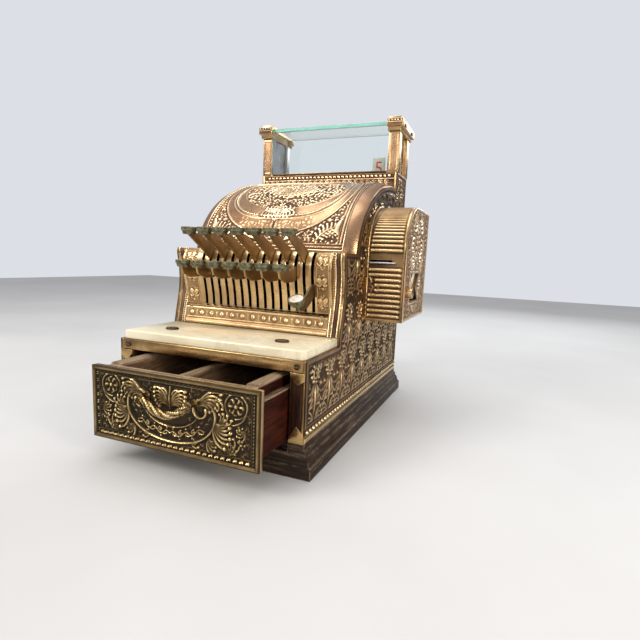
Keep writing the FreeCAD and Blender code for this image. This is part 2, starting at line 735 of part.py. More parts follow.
def make_printer():
    """The printer box on the right side: mount, cover, end plate, paper roll and knob."""
    side = size("cabinet_width") / 2
    low = size("printer_low")
    end = size("printer_side")
    rear = size("printer_rear")
    mount = printer_solid(0, low, side, side + 3)
    floor = Part.makeBox(end - side - 6, rear - size("printer_front"), 3,
                         Vector(side + 3, size("printer_front"), low))
    back = Part.makeBox(end - side - 6, 3, 138, Vector(side + 3, rear - 3, low + 3))
    spindle = Part.makeCylinder(5, end - side - 6.5, Vector(side + 3, 245, 205), Vector(1, 0, 0))
    pin_place = Vector(side + 3, size("cover_pin_back"), size("cover_pin_high"))
    pin = Part.makeCylinder(size("cover_pin_radius"), end - side - 6, pin_place, Vector(1, 0, 0))
    finish(solid("PrinterCase", mount.fuse([floor, back, spindle, pin])), "printer_case")
    plate = printer_solid(0, low, end - 3, end)
    for sign in (-1, 1):
        waist = 188
        throat = Part.makePolygon([Vector(end - 5, 230, waist), Vector(end - 5, 252, waist),
                                   Vector(end - 5, 271, waist + sign * 19),
                                   Vector(end - 5, 211, waist + sign * 19),
                                   Vector(end - 5, 230, waist)])
        plate = plate.cut(Part.Face(throat).extrude(Vector(8, 0, 0)))
    knob_place = Vector(end - 6, 194, 182)
    plate = plate.cut(Part.makeCylinder(2 + size("fit"), 10, knob_place, Vector(1, 0, 0)))
    finish(solid("PrinterEnd", plate), "printer_end_plate")
    shell = printer_solid(0, low + 3.4, side + 3.4, end - 3.4)
    hollow = printer_solid(3, low - 2, side + 2, end)
    shell = shell.cut(hollow)
    trim = Part.makeBox(80, 12, 200, Vector(side, rear - 9, low - 1))
    slit = Part.makeBox(30, 8, 2.4, Vector(side + 6, size("printer_front") - 2, 221))
    shell = shell.cut([trim, slit])
    for x in (side + 6, end - 16):
        knuckle_place = Vector(x, size("cover_pin_back"), size("cover_pin_high"))
        shell = shell.fuse(Part.makeCylinder(3.4, 10, knuckle_place, Vector(1, 0, 0)))
    pin_bore = Part.makeCylinder(size("cover_pin_radius") + size("fit"), end - side,
                                 pin_place - Vector(3, 0, 0), Vector(1, 0, 0))
    finish(solid("PrinterCover", shell.cut(pin_bore)), "printer_cover")
    roll = Part.makeCylinder(28, 43.5, Vector(side + 5, 245, 205), Vector(1, 0, 0))
    core = Part.makeCylinder(5 + size("fit"), 60, Vector(side, 245, 205), Vector(1, 0, 0))
    finish(solid("PaperRoll", roll.cut(core)), "paper_roll")
    grip = Part.makeCylinder(6.5, 9, Vector(end + 0.3, 194, 182), Vector(1, 0, 0))
    stem = Part.makeCylinder(2, 6.3, knob_place, Vector(1, 0, 0))
    finish(solid("PrinterKnob", grip.fuse(stem)), "printer_knob")


def write_parts():
    """Check every object and write each sub-part's solids to its own file."""
    document.recompute()
    faults = [thing.Label for thing in document.Objects
              if "Invalid" in thing.State or "Error" in thing.State]
    for thing in sub_parts:
        if thing.Shape.isNull() or not thing.Shape.isValid() or not thing.Shape.Solids:
            faults.append(f"{thing.Label} has no valid solid")
    if faults:
        raise RuntimeError("Faulty objects: " + ", ".join(faults))
    os.makedirs("parts", exist_ok=True)
    for thing in sub_parts:
        thing.Shape.exportStep(os.path.join("parts", f"{thing.Label}.step"))
    print(f"{len(sub_parts)} sub-parts written")


make_base()
make_cabinet()
make_brackets()
screw_heads()
make_key_bank()
make_keys()
make_tablets()
make_mechanism()
make_lid()
make_indicator()
make_drawer()
make_printer()
write_parts()
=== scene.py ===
"""Looks of the cash register: cast brass relief, wood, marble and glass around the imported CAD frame.

Objects are in metres in the row frame (+X right, +Y towards the back, +Z up). Relief is drawn in
millimetres on flat fields, u across and v up, and is then laid on the surface that it belongs to.
Angles of drawn shapes are in degrees, counted from u towards v.
"""
import math

import bmesh
import bpy
import numpy as np
from mathutils import Matrix, Vector
from mathutils.bvhtree import BVHTree


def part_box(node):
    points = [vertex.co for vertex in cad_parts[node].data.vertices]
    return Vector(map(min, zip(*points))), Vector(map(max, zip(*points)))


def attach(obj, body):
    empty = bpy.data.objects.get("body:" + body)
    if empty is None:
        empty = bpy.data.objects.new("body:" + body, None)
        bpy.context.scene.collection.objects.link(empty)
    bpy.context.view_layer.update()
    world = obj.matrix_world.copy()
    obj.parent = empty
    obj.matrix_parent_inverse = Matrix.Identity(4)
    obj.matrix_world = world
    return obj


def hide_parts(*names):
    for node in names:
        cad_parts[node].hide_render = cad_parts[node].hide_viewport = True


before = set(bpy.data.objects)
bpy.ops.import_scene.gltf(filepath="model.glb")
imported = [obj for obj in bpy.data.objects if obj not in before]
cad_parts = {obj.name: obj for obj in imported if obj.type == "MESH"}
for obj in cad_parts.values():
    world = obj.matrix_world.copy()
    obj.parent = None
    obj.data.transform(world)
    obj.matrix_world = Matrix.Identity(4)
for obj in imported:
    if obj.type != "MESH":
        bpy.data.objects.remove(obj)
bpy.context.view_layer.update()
MM = 0.001
LOOKS = {}
SIDES = ((-1, "left"), (1, "right"))


# ---------------------------------------------------------------- drawing relief

def facing(heading, bend, share, tighten):
    """The direction of a curl after a share of its length."""
    return heading + bend * (share + tighten * share ** 3) / (1 + tighten)


def curl(start, heading, length, bend, tighten=0.0):
    """A line from start at heading that turns by bend, ever faster as tighten grows."""
    count = max(8, int(length * 2.5))
    angle = np.radians(facing(heading, bend, np.linspace(0, 1, count), tighten))
    stride = length / (count - 1)
    across = start[0] + stride * np.concatenate([[0], np.cumsum(np.cos(angle[:-1]))])
    up = start[1] + stride * np.concatenate([[0], np.cumsum(np.sin(angle[:-1]))])
    return np.column_stack([across, up])


def along(path, share):
    return path[int(share * (len(path) - 1))]


def polar(centre, radius, angle):
    turn = math.radians(angle)
    return centre[0] + radius * math.cos(turn), centre[1] + radius * math.sin(turn)


def between(start, end, share):
    return start[0] + share * (end[0] - start[0]), start[1] + share * (end[1] - start[1])


def spaced(start, end, pitch):
    """Points from start to end, about a pitch apart."""
    count = max(2, round(math.dist(start, end) / pitch) + 1)
    return [between(start, end, share) for share in np.linspace(0, 1, count)]


def oval(centre, radius_u, radius_v, low=0, high=360):
    turn = np.radians(np.linspace(low, high, 97))
    return np.column_stack([centre[0] + radius_u * np.cos(turn), centre[1] + radius_v * np.sin(turn)])


def blurred(grid, passes):
    for _ in range(passes):
        grid = np.pad(grid, 1, mode="edge")
        grid = (grid[:-2] + 2 * grid[1:-1] + grid[2:]) / 4
        grid = (grid[:, :-2] + 2 * grid[:, 1:-1] + grid[:, 2:]) / 4
    return grid


class Field:
    """A height drawing: every shape is raised over what is there already."""

    def __init__(self, u_low, u_high, v_low, v_high, step):
        self.u = np.linspace(u_low, u_high, round((u_high - u_low) / step) + 1)
        self.v = np.linspace(v_low, v_high, round((v_high - v_low) / step) + 1)
        self.steps = self.v[1] - self.v[0], self.u[1] - self.u[0]
        self.step = step
        self.h = np.zeros((len(self.v), len(self.u)))
        self.smooth = np.zeros(self.h.shape)

    def grid(self):
        return np.meshgrid(self.u, self.v)

    def margin(self):
        """How far each point lies inside the field's own edge."""
        u, v = self.grid()
        return np.minimum(np.minimum(u - self.u[0], self.u[-1] - u),
                          np.minimum(v - self.v[0], self.v[-1] - v))

    def window(self, u, v, radius):
        """The rows and columns around a point."""
        slices = []
        for at, line, step in zip((v, u), (self.v, self.u), self.steps):
            low = max(0, int((at - radius - line[0]) / step))
            slices.append(slice(low, max(low, min(len(line), int((at + radius - line[0]) / step) + 2))))
        return tuple(slices)

    def raise_to(self, heights):
        self.h = np.maximum(self.h, heights)

    def clear(self, where):
        self.h = np.where(where, 0, self.h)

    def mirror(self):
        """Repeats the left half at the right."""
        self.h = np.maximum(self.h, self.h[:, ::-1])

    def change_side(self, turned=True):
        """Moves the field to the other side of u = 0, with what is drawn on it turned round or not."""
        self.u = -self.u[::-1]
        if turned:
            self.h = self.h[:, ::-1].copy()

    def bump(self, u, v, radius, height):
        """A round boss."""
        rows, cols = self.window(u, v, radius)
        apart = (self.u[cols] - u)[None, :] ** 2 + (self.v[rows] - v)[:, None] ** 2
        part = self.h[rows, cols]
        np.maximum(part, height * (1 - apart / radius ** 2), out=part)

    def stroke(self, path, widths, height):
        """A raised rounded line along path. The half widths are spread evenly along it."""
        reached = np.concatenate([[0], np.cumsum(np.hypot(*np.diff(path, axis=0).T))])
        at = np.linspace(0, reached[-1], max(2, int(reached[-1] / (0.6 * self.step))))
        width = np.interp(at / reached[-1], np.linspace(0, 1, len(widths)), widths)
        top = height * np.clip(width / max(widths), 0.4, 1)
        for u, v, half, rise in zip(np.interp(at, reached, path[:, 0]), np.interp(at, reached, path[:, 1]),
                                    width, top):
            self.bump(u, v, max(half, 0.8 * self.step), rise)

    def line(self, start, end, widths, height):
        """A straight stroke of one or more half widths."""
        self.stroke(np.array([start, end], float), np.atleast_1d(widths), height)

    def band(self, u_low, u_high, v_low, v_high, height, slope=1.0):
        """A raised flat with sloping sides."""
        inside = np.minimum(np.minimum(self.u - u_low, u_high - self.u)[None, :],
                            np.minimum(self.v - v_low, v_high - self.v)[:, None])
        self.raise_to(height * np.clip(inside / slope, 0, 1))

    def ridge(self, apart, half, height, power=1):
        """A rounded ridge where apart passes through zero."""
        self.raise_to(height * np.clip(1 - (apart / half) ** 2, 0, 1) ** power)

    def leaf(self, start, heading, length, width, bend=0.0, lobes=5, height=1.3):
        """An acanthus leaf: a vein with pairs of lobes that curl forward."""
        vein = curl(start, heading, length, bend)
        fat = 0.46 * length / lobes
        self.stroke(vein, [0.30 * width, 0.62 * width, 0.52 * width, 0.10 * width], height * 0.5)
        for k in range(lobes):
            share = (k + 0.4) / lobes
            reach = width * (0.45 + 0.75 * math.sin(math.pi * min(1, share * 0.85 + 0.15)))
            for side in (-1, 1):
                lobe = curl(along(vein, share), heading + bend * share + side * 48, reach, side * 34)
                self.stroke(lobe, [fat * 0.55, fat * 0.9, fat * 0.62], height * 0.8)
                self.bump(*lobe[-1], fat * 0.72, height * 0.95)
        self.stroke(vein, [fat * 0.5, fat * 0.6, fat * 0.3], height)

    def plume(self, start, heading, length, bend, width, fingers, reach, height, inner=False):
        """A scroll of acanthus: a stem that rolls up, with curling fingers along its outer side."""
        tighten = 0.7
        stem = curl(start, heading, length, bend, tighten)
        hand = -1 if bend > 0 else 1
        for k in range(fingers):
            share = (k + 0.25) / fingers * 0.86
            ahead = facing(heading, bend, share, tighten)
            size = reach * (0.7 + 0.45 * math.sin(math.pi * share)) * (1 - 0.3 * share)
            for side in ((1, -0.6) if inner else (1,)):
                finger = curl(along(stem, share), ahead + side * hand * 22, abs(side) * size,
                              side * hand * 108, tighten=0.4)
                self.stroke(finger, [0.13 * size, 0.20 * size, 0.23 * size, 0.15 * size], height * 0.82)
                self.bump(*finger[-1], 0.22 * size, height * 0.95)
        self.stroke(stem, [0.8 * width, 1.2 * width, 1.0 * width, 0.7 * width], height)
        self.bump(*stem[-1], 1.5 * width, height * 1.08)

    def wing(self, root, heading, length, turn, ribs, spread, width, height):
        """A sheaf of acanthus ribs from one root, each rolled over at its tip; the later ones lie lower."""
        for k in range(ribs):
            share = k / max(1, ribs - 1)
            rib = curl(root, heading + spread * share, length * (1 - 0.48 * share), turn * (1 + 0.3 * share),
                       tighten=1.2)
            low = height * (1 - 0.16 * share)
            self.stroke(rib, [0.6 * width, 1.05 * width, 1.1 * width, 0.8 * width], low)
            self.bump(*rib[-1], 1.45 * width, low * 1.08)

    def wings(self, *rows):
        """Each row is what wing takes."""
        for row in rows:
            self.wing(*row)

    def twin_wings(self, middle, *rows):
        """Each row is a pair to either side of u = middle: aside, v, the heading both lean from, lean,
        length, turn, ribs, spread, width, height."""
        for aside, v, heading, lean, length, turn, ribs, spread, width, height in rows:
            for hand in (-1, 1):
                self.wing((middle + aside * hand, v), heading + lean * hand, length, turn * hand, ribs,
                          spread * hand, width, height)

    def blade(self, start, heading, length, width, height):
        """A long plain leaf with a groove beside its vein."""
        for side in (-0.5, 0.5):
            path = curl(polar(start, side * width * 0.5, heading + 90), heading - side * 14,
                        length * (0.96 + 0.08 * side), side * 28)
            self.stroke(path, [width * 0.16, width * 0.42, width * 0.36, width * 0.08], height)

    def flower(self, u, v, radius, petals=6, height=1.5, turn=0.0):
        """An open flower with a beaded eye."""
        fat = 1.15 * radius / petals
        for k in range(petals):
            angle = turn + 360 * k / petals
            self.line(polar((u, v), 0.25 * radius, angle), polar((u, v), 0.78 * radius, angle),
                      [0.5 * fat, fat, 1.1 * fat], height * 0.8)
        self.bump(u, v, 0.34 * radius, height)

    def vine(self, start, heading, length, bend, width, leaves, size, height, eye):
        """A scrolling stem: leaves along its outer side and a flower in its eye."""
        tighten = 0.9
        stem = curl(start, heading, length, bend, tighten)
        self.stroke(stem, [1.3 * width, width, 0.7 * width], height)
        hand = 1 if bend > 0 else -1
        for k in range(leaves):
            share = (k + 0.5) / leaves * 0.86
            at = along(stem, share)
            ahead = facing(heading, bend, share, tighten)
            reach = size * (1.1 - 0.55 * share)
            self.leaf(at, ahead - hand * 46, reach, reach * 0.42, bend=-hand * 45, lobes=3, height=height)
            if k % 2:
                inward = curl(at, ahead + hand * 50, reach * 0.55, hand * 70)
                self.stroke(inward, [0.5 * width, 0.7 * width, 0.4 * width], height * 0.8)
        self.flower(*stem[-1], eye, petals=5, height=height * 1.1)

    def beads(self, start, end, pitch, radius, height):
        for at in spaced(start, end, pitch):
            self.bump(*at, radius, height)

    def rope(self, start, end, pitch, reach, width, height, slant):
        """A row of short slanting strokes."""
        heading = math.degrees(math.atan2(end[1] - start[1], end[0] - start[0])) + slant
        lean = polar((0, 0), 0.5 * reach, heading)
        for at in spaced(start, end, pitch):
            self.line((at[0] - lean[0], at[1] - lean[1]), (at[0] + lean[0], at[1] + lean[1]),
                      [0.6 * width, width, 0.6 * width], height)

    def foliage(self, where, size, height, seed, tries=2600, room=0.40):
        """Small curling leaves and buds wherever the ground inside the mask is still bare."""
        rng = np.random.default_rng(seed)
        rows, cols = np.nonzero(where)
        for pick in rng.integers(0, len(rows), tries):
            u, v = self.u[cols[pick]], self.v[rows[pick]]
            near = self.h[self.window(u, v, room * size)]
            if near.size and near.max() > 0.3 * height:
                continue
            heading = rng.uniform(0, 360)
            hand = rng.choice((-1, 1))
            grown = size * rng.uniform(0.75, 1.15)
            if rng.random() < 0.3:
                self.flower(u, v, 0.42 * grown, petals=5, height=height, turn=heading)
                continue
            stem = curl((u, v), heading, 1.15 * grown, hand * 150, tighten=0.4)
            self.stroke(stem, [0.13 * grown, 0.22 * grown, 0.15 * grown], height * 0.85)
            self.bump(*stem[-1], 0.2 * grown, height)
            for share, lean in ((0.15, -70), (0.45, -62), (0.2, 150)):
                lobe = curl(along(stem, share), heading + hand * lean, 0.5 * grown, hand * 60)
                self.stroke(lobe, [0.11 * grown, 0.17 * grown, 0.10 * grown], height * 0.75)


# ---------------------------------------------------------------- surfaces of the frame

def box_mm(node):
    """A node's lowest and highest corner in millimetres."""
    low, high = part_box(node)
    return [value / MM for value in low], [value / MM for value in high]


def skin(node):
    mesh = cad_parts[node].data
    return BVHTree.FromPolygons([v.co.copy() for v in mesh.vertices],
                                [list(p.vertices) for p in mesh.polygons])


def front_profile(node, x, z_low, z_high, count=60):
    """(y, z) along the front skin of a node, in millimetres, from z_low up to z_high."""
    tree = skin(node)
    points = []
    for z in np.linspace(z_low, z_high, count):
        hit = tree.ray_cast(Vector((x * MM, -1.0, z * MM)), Vector((0, 1, 0)))[0]
        if hit:
            points.append((hit.y / MM, z))
    return np.array(points)


def round_profile(node, x, centre, low, high, count=120):
    """(y, z) along the outer skin around a centre, between two angles up from the front."""
    tree = skin(node)
    points = []
    for angle in np.radians(np.linspace(low, high, count)):
        way = Vector((0, -math.cos(angle), math.sin(angle)))
        inner = Vector((x * MM, centre[0] * MM, centre[1] * MM))
        hit = tree.ray_cast(inner + way, -way)[0]
        if hit:
            points.append((hit.y / MM, hit.z / MM))
    return np.array(points)


def face_loops(node, axis, value):
    """The outline and holes of a node's flat face at axis = value, as (n, 2) arrays in millimetres."""
    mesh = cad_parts[node].data
    others = [k for k in range(3) if k != axis]
    spot = {}
    count = {}
    for polygon in mesh.polygons:
        if all(abs(mesh.vertices[k].co[axis] / MM - value) < 0.02 for k in polygon.vertices):
            keys = [tuple(round(mesh.vertices[k].co[o] / MM, 3) for o in others) for k in polygon.vertices]
            for a, b in zip(keys, keys[1:] + keys[:1]):
                edge = (min(a, b), max(a, b))
                count[edge] = count.get(edge, 0) + 1
    for (a, b), uses in count.items():
        if uses == 1 and a != b:
            spot.setdefault(a, []).append(b)
            spot.setdefault(b, []).append(a)
    loops = []
    while spot:
        start = next(iter(spot))
        loop = [start]
        here = start
        while spot.get(here):
            after = spot[here].pop()
            spot[after].remove(here)
            loop.append(after)
            here = after
        for key in loop:
            if key in spot and not spot[key]:
                del spot[key]
        if len(loop) > 3:
            loops.append(np.array(loop[:-1] if loop[0] == loop[-1] else loop))
    return loops


def inside_loops(loops, u, v):
    """True where a point is inside the outline and outside its holes."""
    inside = np.zeros(u.shape, bool)
    for loop in loops:
        for a, b in zip(loop, np.roll(loop, -1, axis=0)):
            if a[1] != b[1]:
                crosses = (v >= min(a[1], b[1])) & (v < max(a[1], b[1]))
                at = a[0] + (v - a[1]) * (b[0] - a[0]) / (b[1] - a[1])
                inside ^= crosses & (u < at)
    return inside


def nearest_edge(loops, u, v):
    """Distance to the outline, and the nearest point on it."""
    best = np.full(u.shape, np.inf)
    near_u = np.zeros(u.shape)
    near_v = np.zeros(u.shape)
    for loop in loops:
        for a, b in zip(loop, np.roll(loop, -1, axis=0)):
            side = b - a
            share = np.clip(((u - a[0]) * side[0] + (v - a[1]) * side[1]) / max(side @ side, 1e-9), 0, 1)
            foot_u, foot_v = a[0] + share * side[0], a[1] + share * side[1]
            apart = np.hypot(u - foot_u, v - foot_v)
            closer = apart < best
            best = np.where(closer, apart, best)
            near_u = np.where(closer, foot_u, near_u)
            near_v = np.where(closer, foot_v, near_v)
    return best, near_u, near_v


FRONT, BACK, TOP = (0, -1, 0), (0, 1, 0), (0, 0, 1)


def flat_place(normal, level):
    """Lays a field on a plane square to an axis: u runs along X, or along Y where the plane faces X."""
    across = (0, 1, 0) if normal[0] else (1, 0, 0)
    up = (0, 1, 0) if normal[2] else (0, 0, 1)

    def place(u, v):
        points = np.abs(normal) * level + u[..., None] * np.array(across) + v[..., None] * np.array(up)
        return points, np.broadcast_to(np.array(normal, float), points.shape)
    return place


def swept_place(profile):
    """Lays a field on a profile of (y, z) points that is extruded along X; v is the length along it."""
    stretch = np.concatenate([[0], np.cumsum(np.hypot(*np.diff(profile, axis=0).T))])
    fine = np.linspace(0, stretch[-1], 4 * len(profile))
    y, z = np.interp(fine, stretch, profile[:, 0]), np.interp(fine, stretch, profile[:, 1])
    slope_y, slope_z = blurred(np.gradient(y)[None, :], 2)[0], blurred(np.gradient(z)[None, :], 2)[0]
    size = np.hypot(slope_y, slope_z)

    def place(u, v):
        points = np.stack([u, np.interp(v, fine, y), np.interp(v, fine, z)], axis=-1)
        normal = np.stack([np.zeros_like(u), np.interp(v, fine, -slope_z / size),
                           np.interp(v, fine, slope_y / size)], axis=-1)
        return points, normal
    return place, stretch[-1]


# ---------------------------------------------------------------- meshes

def linked(name, data):
    thing = bpy.data.objects.new(name, data)
    bpy.context.collection.objects.link(thing)
    return thing


def settle(piece, body, looks):
    """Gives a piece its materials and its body."""
    for look in looks:
        piece.data.materials.append(LOOKS[look])
    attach(piece, body)
    return piece


def mesh_of(name, points, quads):
    """A smooth mesh of points in millimetres, with sharp edges where it turns by more than 40 degrees."""
    mesh = bpy.data.meshes.new(name)
    mesh.vertices.add(len(points))
    mesh.vertices.foreach_set("co", np.asarray(points * MM, np.float32).ravel())
    mesh.loops.add(4 * len(quads))
    mesh.loops.foreach_set("vertex_index", np.asarray(quads, np.int32).ravel())
    mesh.polygons.add(len(quads))
    mesh.polygons.foreach_set("loop_start", np.arange(0, 4 * len(quads), 4, dtype=np.int32))
    mesh.update(calc_edges=True)
    mesh.validate()
    mesh.shade_smooth()
    mesh.set_sharp_from_angle(angle=math.radians(40))
    return mesh


def mark(mesh, **values):
    """Attributes that the materials read, one number for the mesh or one for each point."""
    for name, value in values.items():
        every = np.ascontiguousarray(np.broadcast_to(value, len(mesh.vertices)), np.float32)
        mesh.attributes.new(name, "FLOAT", "POINT").data.foreach_set("value", every)


def grid_quads(rows, cols, closed=False):
    """Quads between rows of points. Closed rows end where they start."""
    index = np.arange(rows * cols).reshape(rows, cols)
    if closed:
        index = np.hstack([index, index[:, :1]])
    return np.stack([index[:-1, :-1], index[:-1, 1:], index[1:, 1:], index[1:, :-1]], axis=-1)


def relief(name, field, place, look, body="cabinet", loops=None, sink=0.6, lift=0.12):
    """Lays a field on its surface as a casting with sunk sides. Loops trim it to an outline."""
    u, v = field.grid()
    heights = blurred(field.h, 1)
    # hollow: how far a point stands over its blurred surroundings; the brass looks darken low values as
    # oxide and painted shade, and the sunk sides get a low value too
    reach = max(4, int((2.2 / field.step) ** 2))
    hollow = np.clip(0.5 + 0.55 * (heights - blurred(heights, reach)), 0, 1)
    rows, cols = heights.shape
    kept = np.ones((rows - 1, cols - 1), bool)
    if loops is not None:
        kept = inside_loops(loops, (u[:-1, :-1] + u[1:, 1:]) / 2, (v[:-1, :-1] + v[1:, 1:]) / 2)
        around = np.pad(kept, 1)
        corners = np.stack([around[:-1, :-1], around[:-1, 1:], around[1:, :-1], around[1:, 1:]])
        rim = corners.any(axis=0) & ~corners.all(axis=0)
        _, u[rim], v[rim] = nearest_edge(loops, u[rim], v[rim])
    points, normals = place(u, v)
    top = points + normals * (lift + heights)[..., None]
    under = points - normals * sink
    corners = grid_quads(rows, cols)
    ring = np.pad(kept, 1)
    quads = [corners[kept]]
    for k, beside in enumerate((ring[:-2, 1:-1], ring[1:-1, 2:], ring[2:, 1:-1], ring[1:-1, :-2])):
        edge = corners[kept & ~beside]
        a, b = edge[:, k], edge[:, (k + 1) % 4]
        quads.append(np.stack([b, a, a + rows * cols, b + rows * cols], axis=-1))
    quads = np.concatenate(quads)
    if np.cross(points[0, 1] - points[0, 0], points[1, 0] - points[0, 0]) @ normals[0, 0] < 0:
        quads = quads[:, ::-1]
    used, quads = np.unique(quads, return_inverse=True)
    every = np.concatenate([top.reshape(-1, 3), under.reshape(-1, 3)])
    mesh = mesh_of(name, every[used], quads.reshape(-1, 4))
    below = np.ones(rows * cols)
    mark(mesh, relief=np.concatenate([heights.ravel() / max(heights.max(), 0.01), 0 * below])[used],
         hollow=np.concatenate([hollow.ravel(), 0.3 * below])[used],
         smooth=np.concatenate([blurred(field.smooth, 1).ravel(), 0 * below])[used])
    return settle(linked(name, mesh), body, [look])


def softened(node, *looks, body="cabinet", slot="cast_brass", bevel, segments=2, pick=None):
    """A CAD node's own shape with its edges rounded, standing for the node.

    pick takes a face's centre in millimetres and its normal, and gives the number of its look."""
    shape = bmesh.new()
    shape.from_mesh(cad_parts[node].data)
    bmesh.ops.remove_doubles(shape, verts=shape.verts, dist=1e-6)
    bmesh.ops.dissolve_limit(shape, angle_limit=math.radians(0.8), verts=shape.verts, edges=shape.edges)
    rough = bpy.data.meshes.new("rough")
    shape.to_mesh(rough)
    shape.free()
    piece = linked(node + "_finish", rough)
    edge = piece.modifiers.new("edge", "BEVEL")
    edge.width = bevel * MM
    edge.segments = segments
    edge.limit_method = "ANGLE"
    edge.angle_limit = math.radians(38)
    edge.use_clamp_overlap = True
    edge.harden_normals = False
    mesh = bpy.data.meshes.new_from_object(piece.evaluated_get(bpy.context.evaluated_depsgraph_get()))
    piece.modifiers.clear()
    piece.data = mesh
    bpy.data.meshes.remove(rough)
    mesh.name = piece.name
    mesh.shade_smooth()
    mesh.set_sharp_from_angle(angle=math.radians(32))
    mesh.materials.clear()
    settle(piece, body, looks)
    if pick:
        for polygon in mesh.polygons:
            polygon.material_index = pick(polygon.center / MM, polygon.normal)
    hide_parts(node)
    return piece


def tube(name, path, radii, body, look, sides=20, lobes=0, twist=0.0, depth=0.0):
    """A bar along a path that keeps to the XZ plane. Lobes, twist and depth give it a roped section."""
    path = np.asarray(path, float)
    count = len(path)
    tangents = np.gradient(path, axis=0)
    tangents /= np.linalg.norm(tangents, axis=1)[:, None]
    turn = np.linspace(0, 2 * math.pi, sides, endpoint=False)
    rings = []
    for k, (point, tangent, radius) in enumerate(zip(path, tangents, radii)):
        aside = np.cross(tangent, np.array([0, -1.0, 0]))
        aside /= np.linalg.norm(aside)
        swell = radius * (1 + depth * np.cos(lobes * turn + twist * k / count))
        rings.append(point + np.outer(swell * np.cos(turn), aside)
                     + np.outer(swell * np.sin(turn), np.cross(aside, tangent)))
    points = np.concatenate([np.concatenate(rings), path[:1], path[-1:]])
    quads = grid_quads(count, sides, closed=True).reshape(-1, 4)
    caps = []
    first = np.arange(sides)
    last = first + (count - 1) * sides
    for ring, centre, order in ((first, count * sides, -1), (last, count * sides + 1, 1)):
        for corners in zip(ring[::2], np.roll(ring, -1)[::2], np.roll(ring, -2)[::2]):
            caps.append([centre, *corners[::order]])
    mesh = mesh_of(name, points, np.concatenate([quads, np.array(caps)]))
    waves = np.cos(lobes * turn[None, :] + twist * np.arange(count)[:, None] / count)
    mark(mesh, relief=np.concatenate([(0.5 + 0.5 * waves).ravel(), [0.5, 0.5]]), hollow=0.86)
    return settle(linked(name, mesh), body, [look])


def lathe(name, profile, centre, axis, body, look, sides=32, ribs=0, depth=0.0):
    """A turned piece: (distance along axis, radius) points spun about an axis through centre."""
    axis = Vector(axis).normalized()
    aside = axis.orthogonal().normalized()
    over = axis.cross(aside)
    turn = np.linspace(0, 2 * math.pi, sides, endpoint=False)
    rings = []
    for reached, radius in profile:
        wave = radius * (1 + depth * np.cos(ribs * turn))
        rings.append(np.array(centre) + reached * np.array(axis) + np.outer(wave * np.cos(turn), aside)
                     + np.outer(wave * np.sin(turn), over))
    mesh = mesh_of(name, np.concatenate(rings), grid_quads(len(profile), sides, closed=True).reshape(-1, 4))
    mark(mesh, relief=0.6, hollow=0.6)
    return settle(linked(name, mesh), body, [look])


def dome_profile(radius, height, start):
    """(along, radius) points of a dome that closes at its top."""
    return [(start + height * math.sin(a), max(radius * math.cos(a), 0.01))
            for a in np.linspace(0, math.pi / 2, 8)]


# ---------------------------------------------------------------- materials

class Nodes:
    """Helpers around a node tree. What a socket is given is its value, or another socket to link to."""

    def __init__(self, tree):
        self.tree = tree

    def join(self, source, socket):
        if isinstance(source, (int, float, tuple)):
            socket.default_value = source
        else:
            self.tree.links.new(source, socket)

    def node(self, kind, inputs, out=0, **settings):
        made = self.tree.nodes.new("ShaderNode" + kind)
        for name, value in settings.items():
            setattr(made, name, value)
        for key, source in inputs.items():
            self.join(source, made.inputs[key])
        return made.outputs[out]

    def math(self, operation, a, b=0.5):
        return self.node("Math", {0: a, 1: b}, operation=operation)

    def add(self, a, b):
        return self.math("ADD", a, b)

    def times(self, a, b):
        return self.math("MULTIPLY", a, b)

    def span(self, value, low, high, to_low=0.0, to_high=1.0):
        return self.node("MapRange", {0: value, 1: low, 2: high, 3: to_low, 4: to_high})

    def mix(self, share, a, b):
        a, b = (colour + (1.0,) if isinstance(colour, tuple) else colour for colour in (a, b))
        return self.node("Mix", {0: share, 6: a, 7: b}, 2, data_type="RGBA")

    def ramp(self, value, *stops):
        colour = self.node("ValToRGB", {"Fac": value}, "Color")
        elements = colour.node.color_ramp.elements
        while len(elements) < len(stops):
            elements.new(0.5)
        for element, (position, tint) in zip(elements, stops):
            element.position = position
            element.color = tint + (1.0,)
        return colour


class Finish(Nodes):
    """A material under construction."""

    def __init__(self, name):
        LOOKS[name] = bpy.data.materials.new(name)
        LOOKS[name].use_nodes = True
        super().__init__(LOOKS[name].node_tree)
        self.shader = self.tree.nodes["Principled BSDF"]
        self.place = self.node("TexCoord", {}, "Object")

    def set(self, **values):
        for key, value in values.items():
            self.join(value, self.shader.inputs[key.replace("_", " ")])

    def attribute(self, name):
        return self.node("Attribute", {}, "Fac", attribute_name=name)

    def stretched(self, scale):
        if not scale:
            return self.place
        return self.node("Mapping", {"Scale": scale, "Vector": self.place}, "Vector")

    def noise(self, scale, detail=4.0, rough=0.55, stretch=None, twist=0.0):
        return self.node("TexNoise", {"Scale": scale, "Detail": detail, "Roughness": rough,
                                      "Distortion": twist, "Vector": self.stretched(stretch)}, "Fac")

    def cells(self, scale, stretch=None):
        return self.node("TexVoronoi", {"Scale": scale, "Vector": self.stretched(stretch)}, "Distance")

    def bump(self, height, strength, distance):
        shape = {"Strength": strength, "Distance": distance * MM, "Height": height}
        self.set(Normal=self.node("Bump", shape, "Normal"))

    def worn_edge(self, radius):
        """1 on sharp edges, 0 on flats: how far a rounded normal turns from the true one."""
        rounded = self.node("Bevel", {"Radius": radius * MM}, "Normal", samples=4)
        true = self.node("NewGeometry", {}, "Normal")
        return self.span(self.node("VectorMath", {0: rounded, 1: true}, "Value", operation="DOT_PRODUCT"),
                         0.995, 0.86)


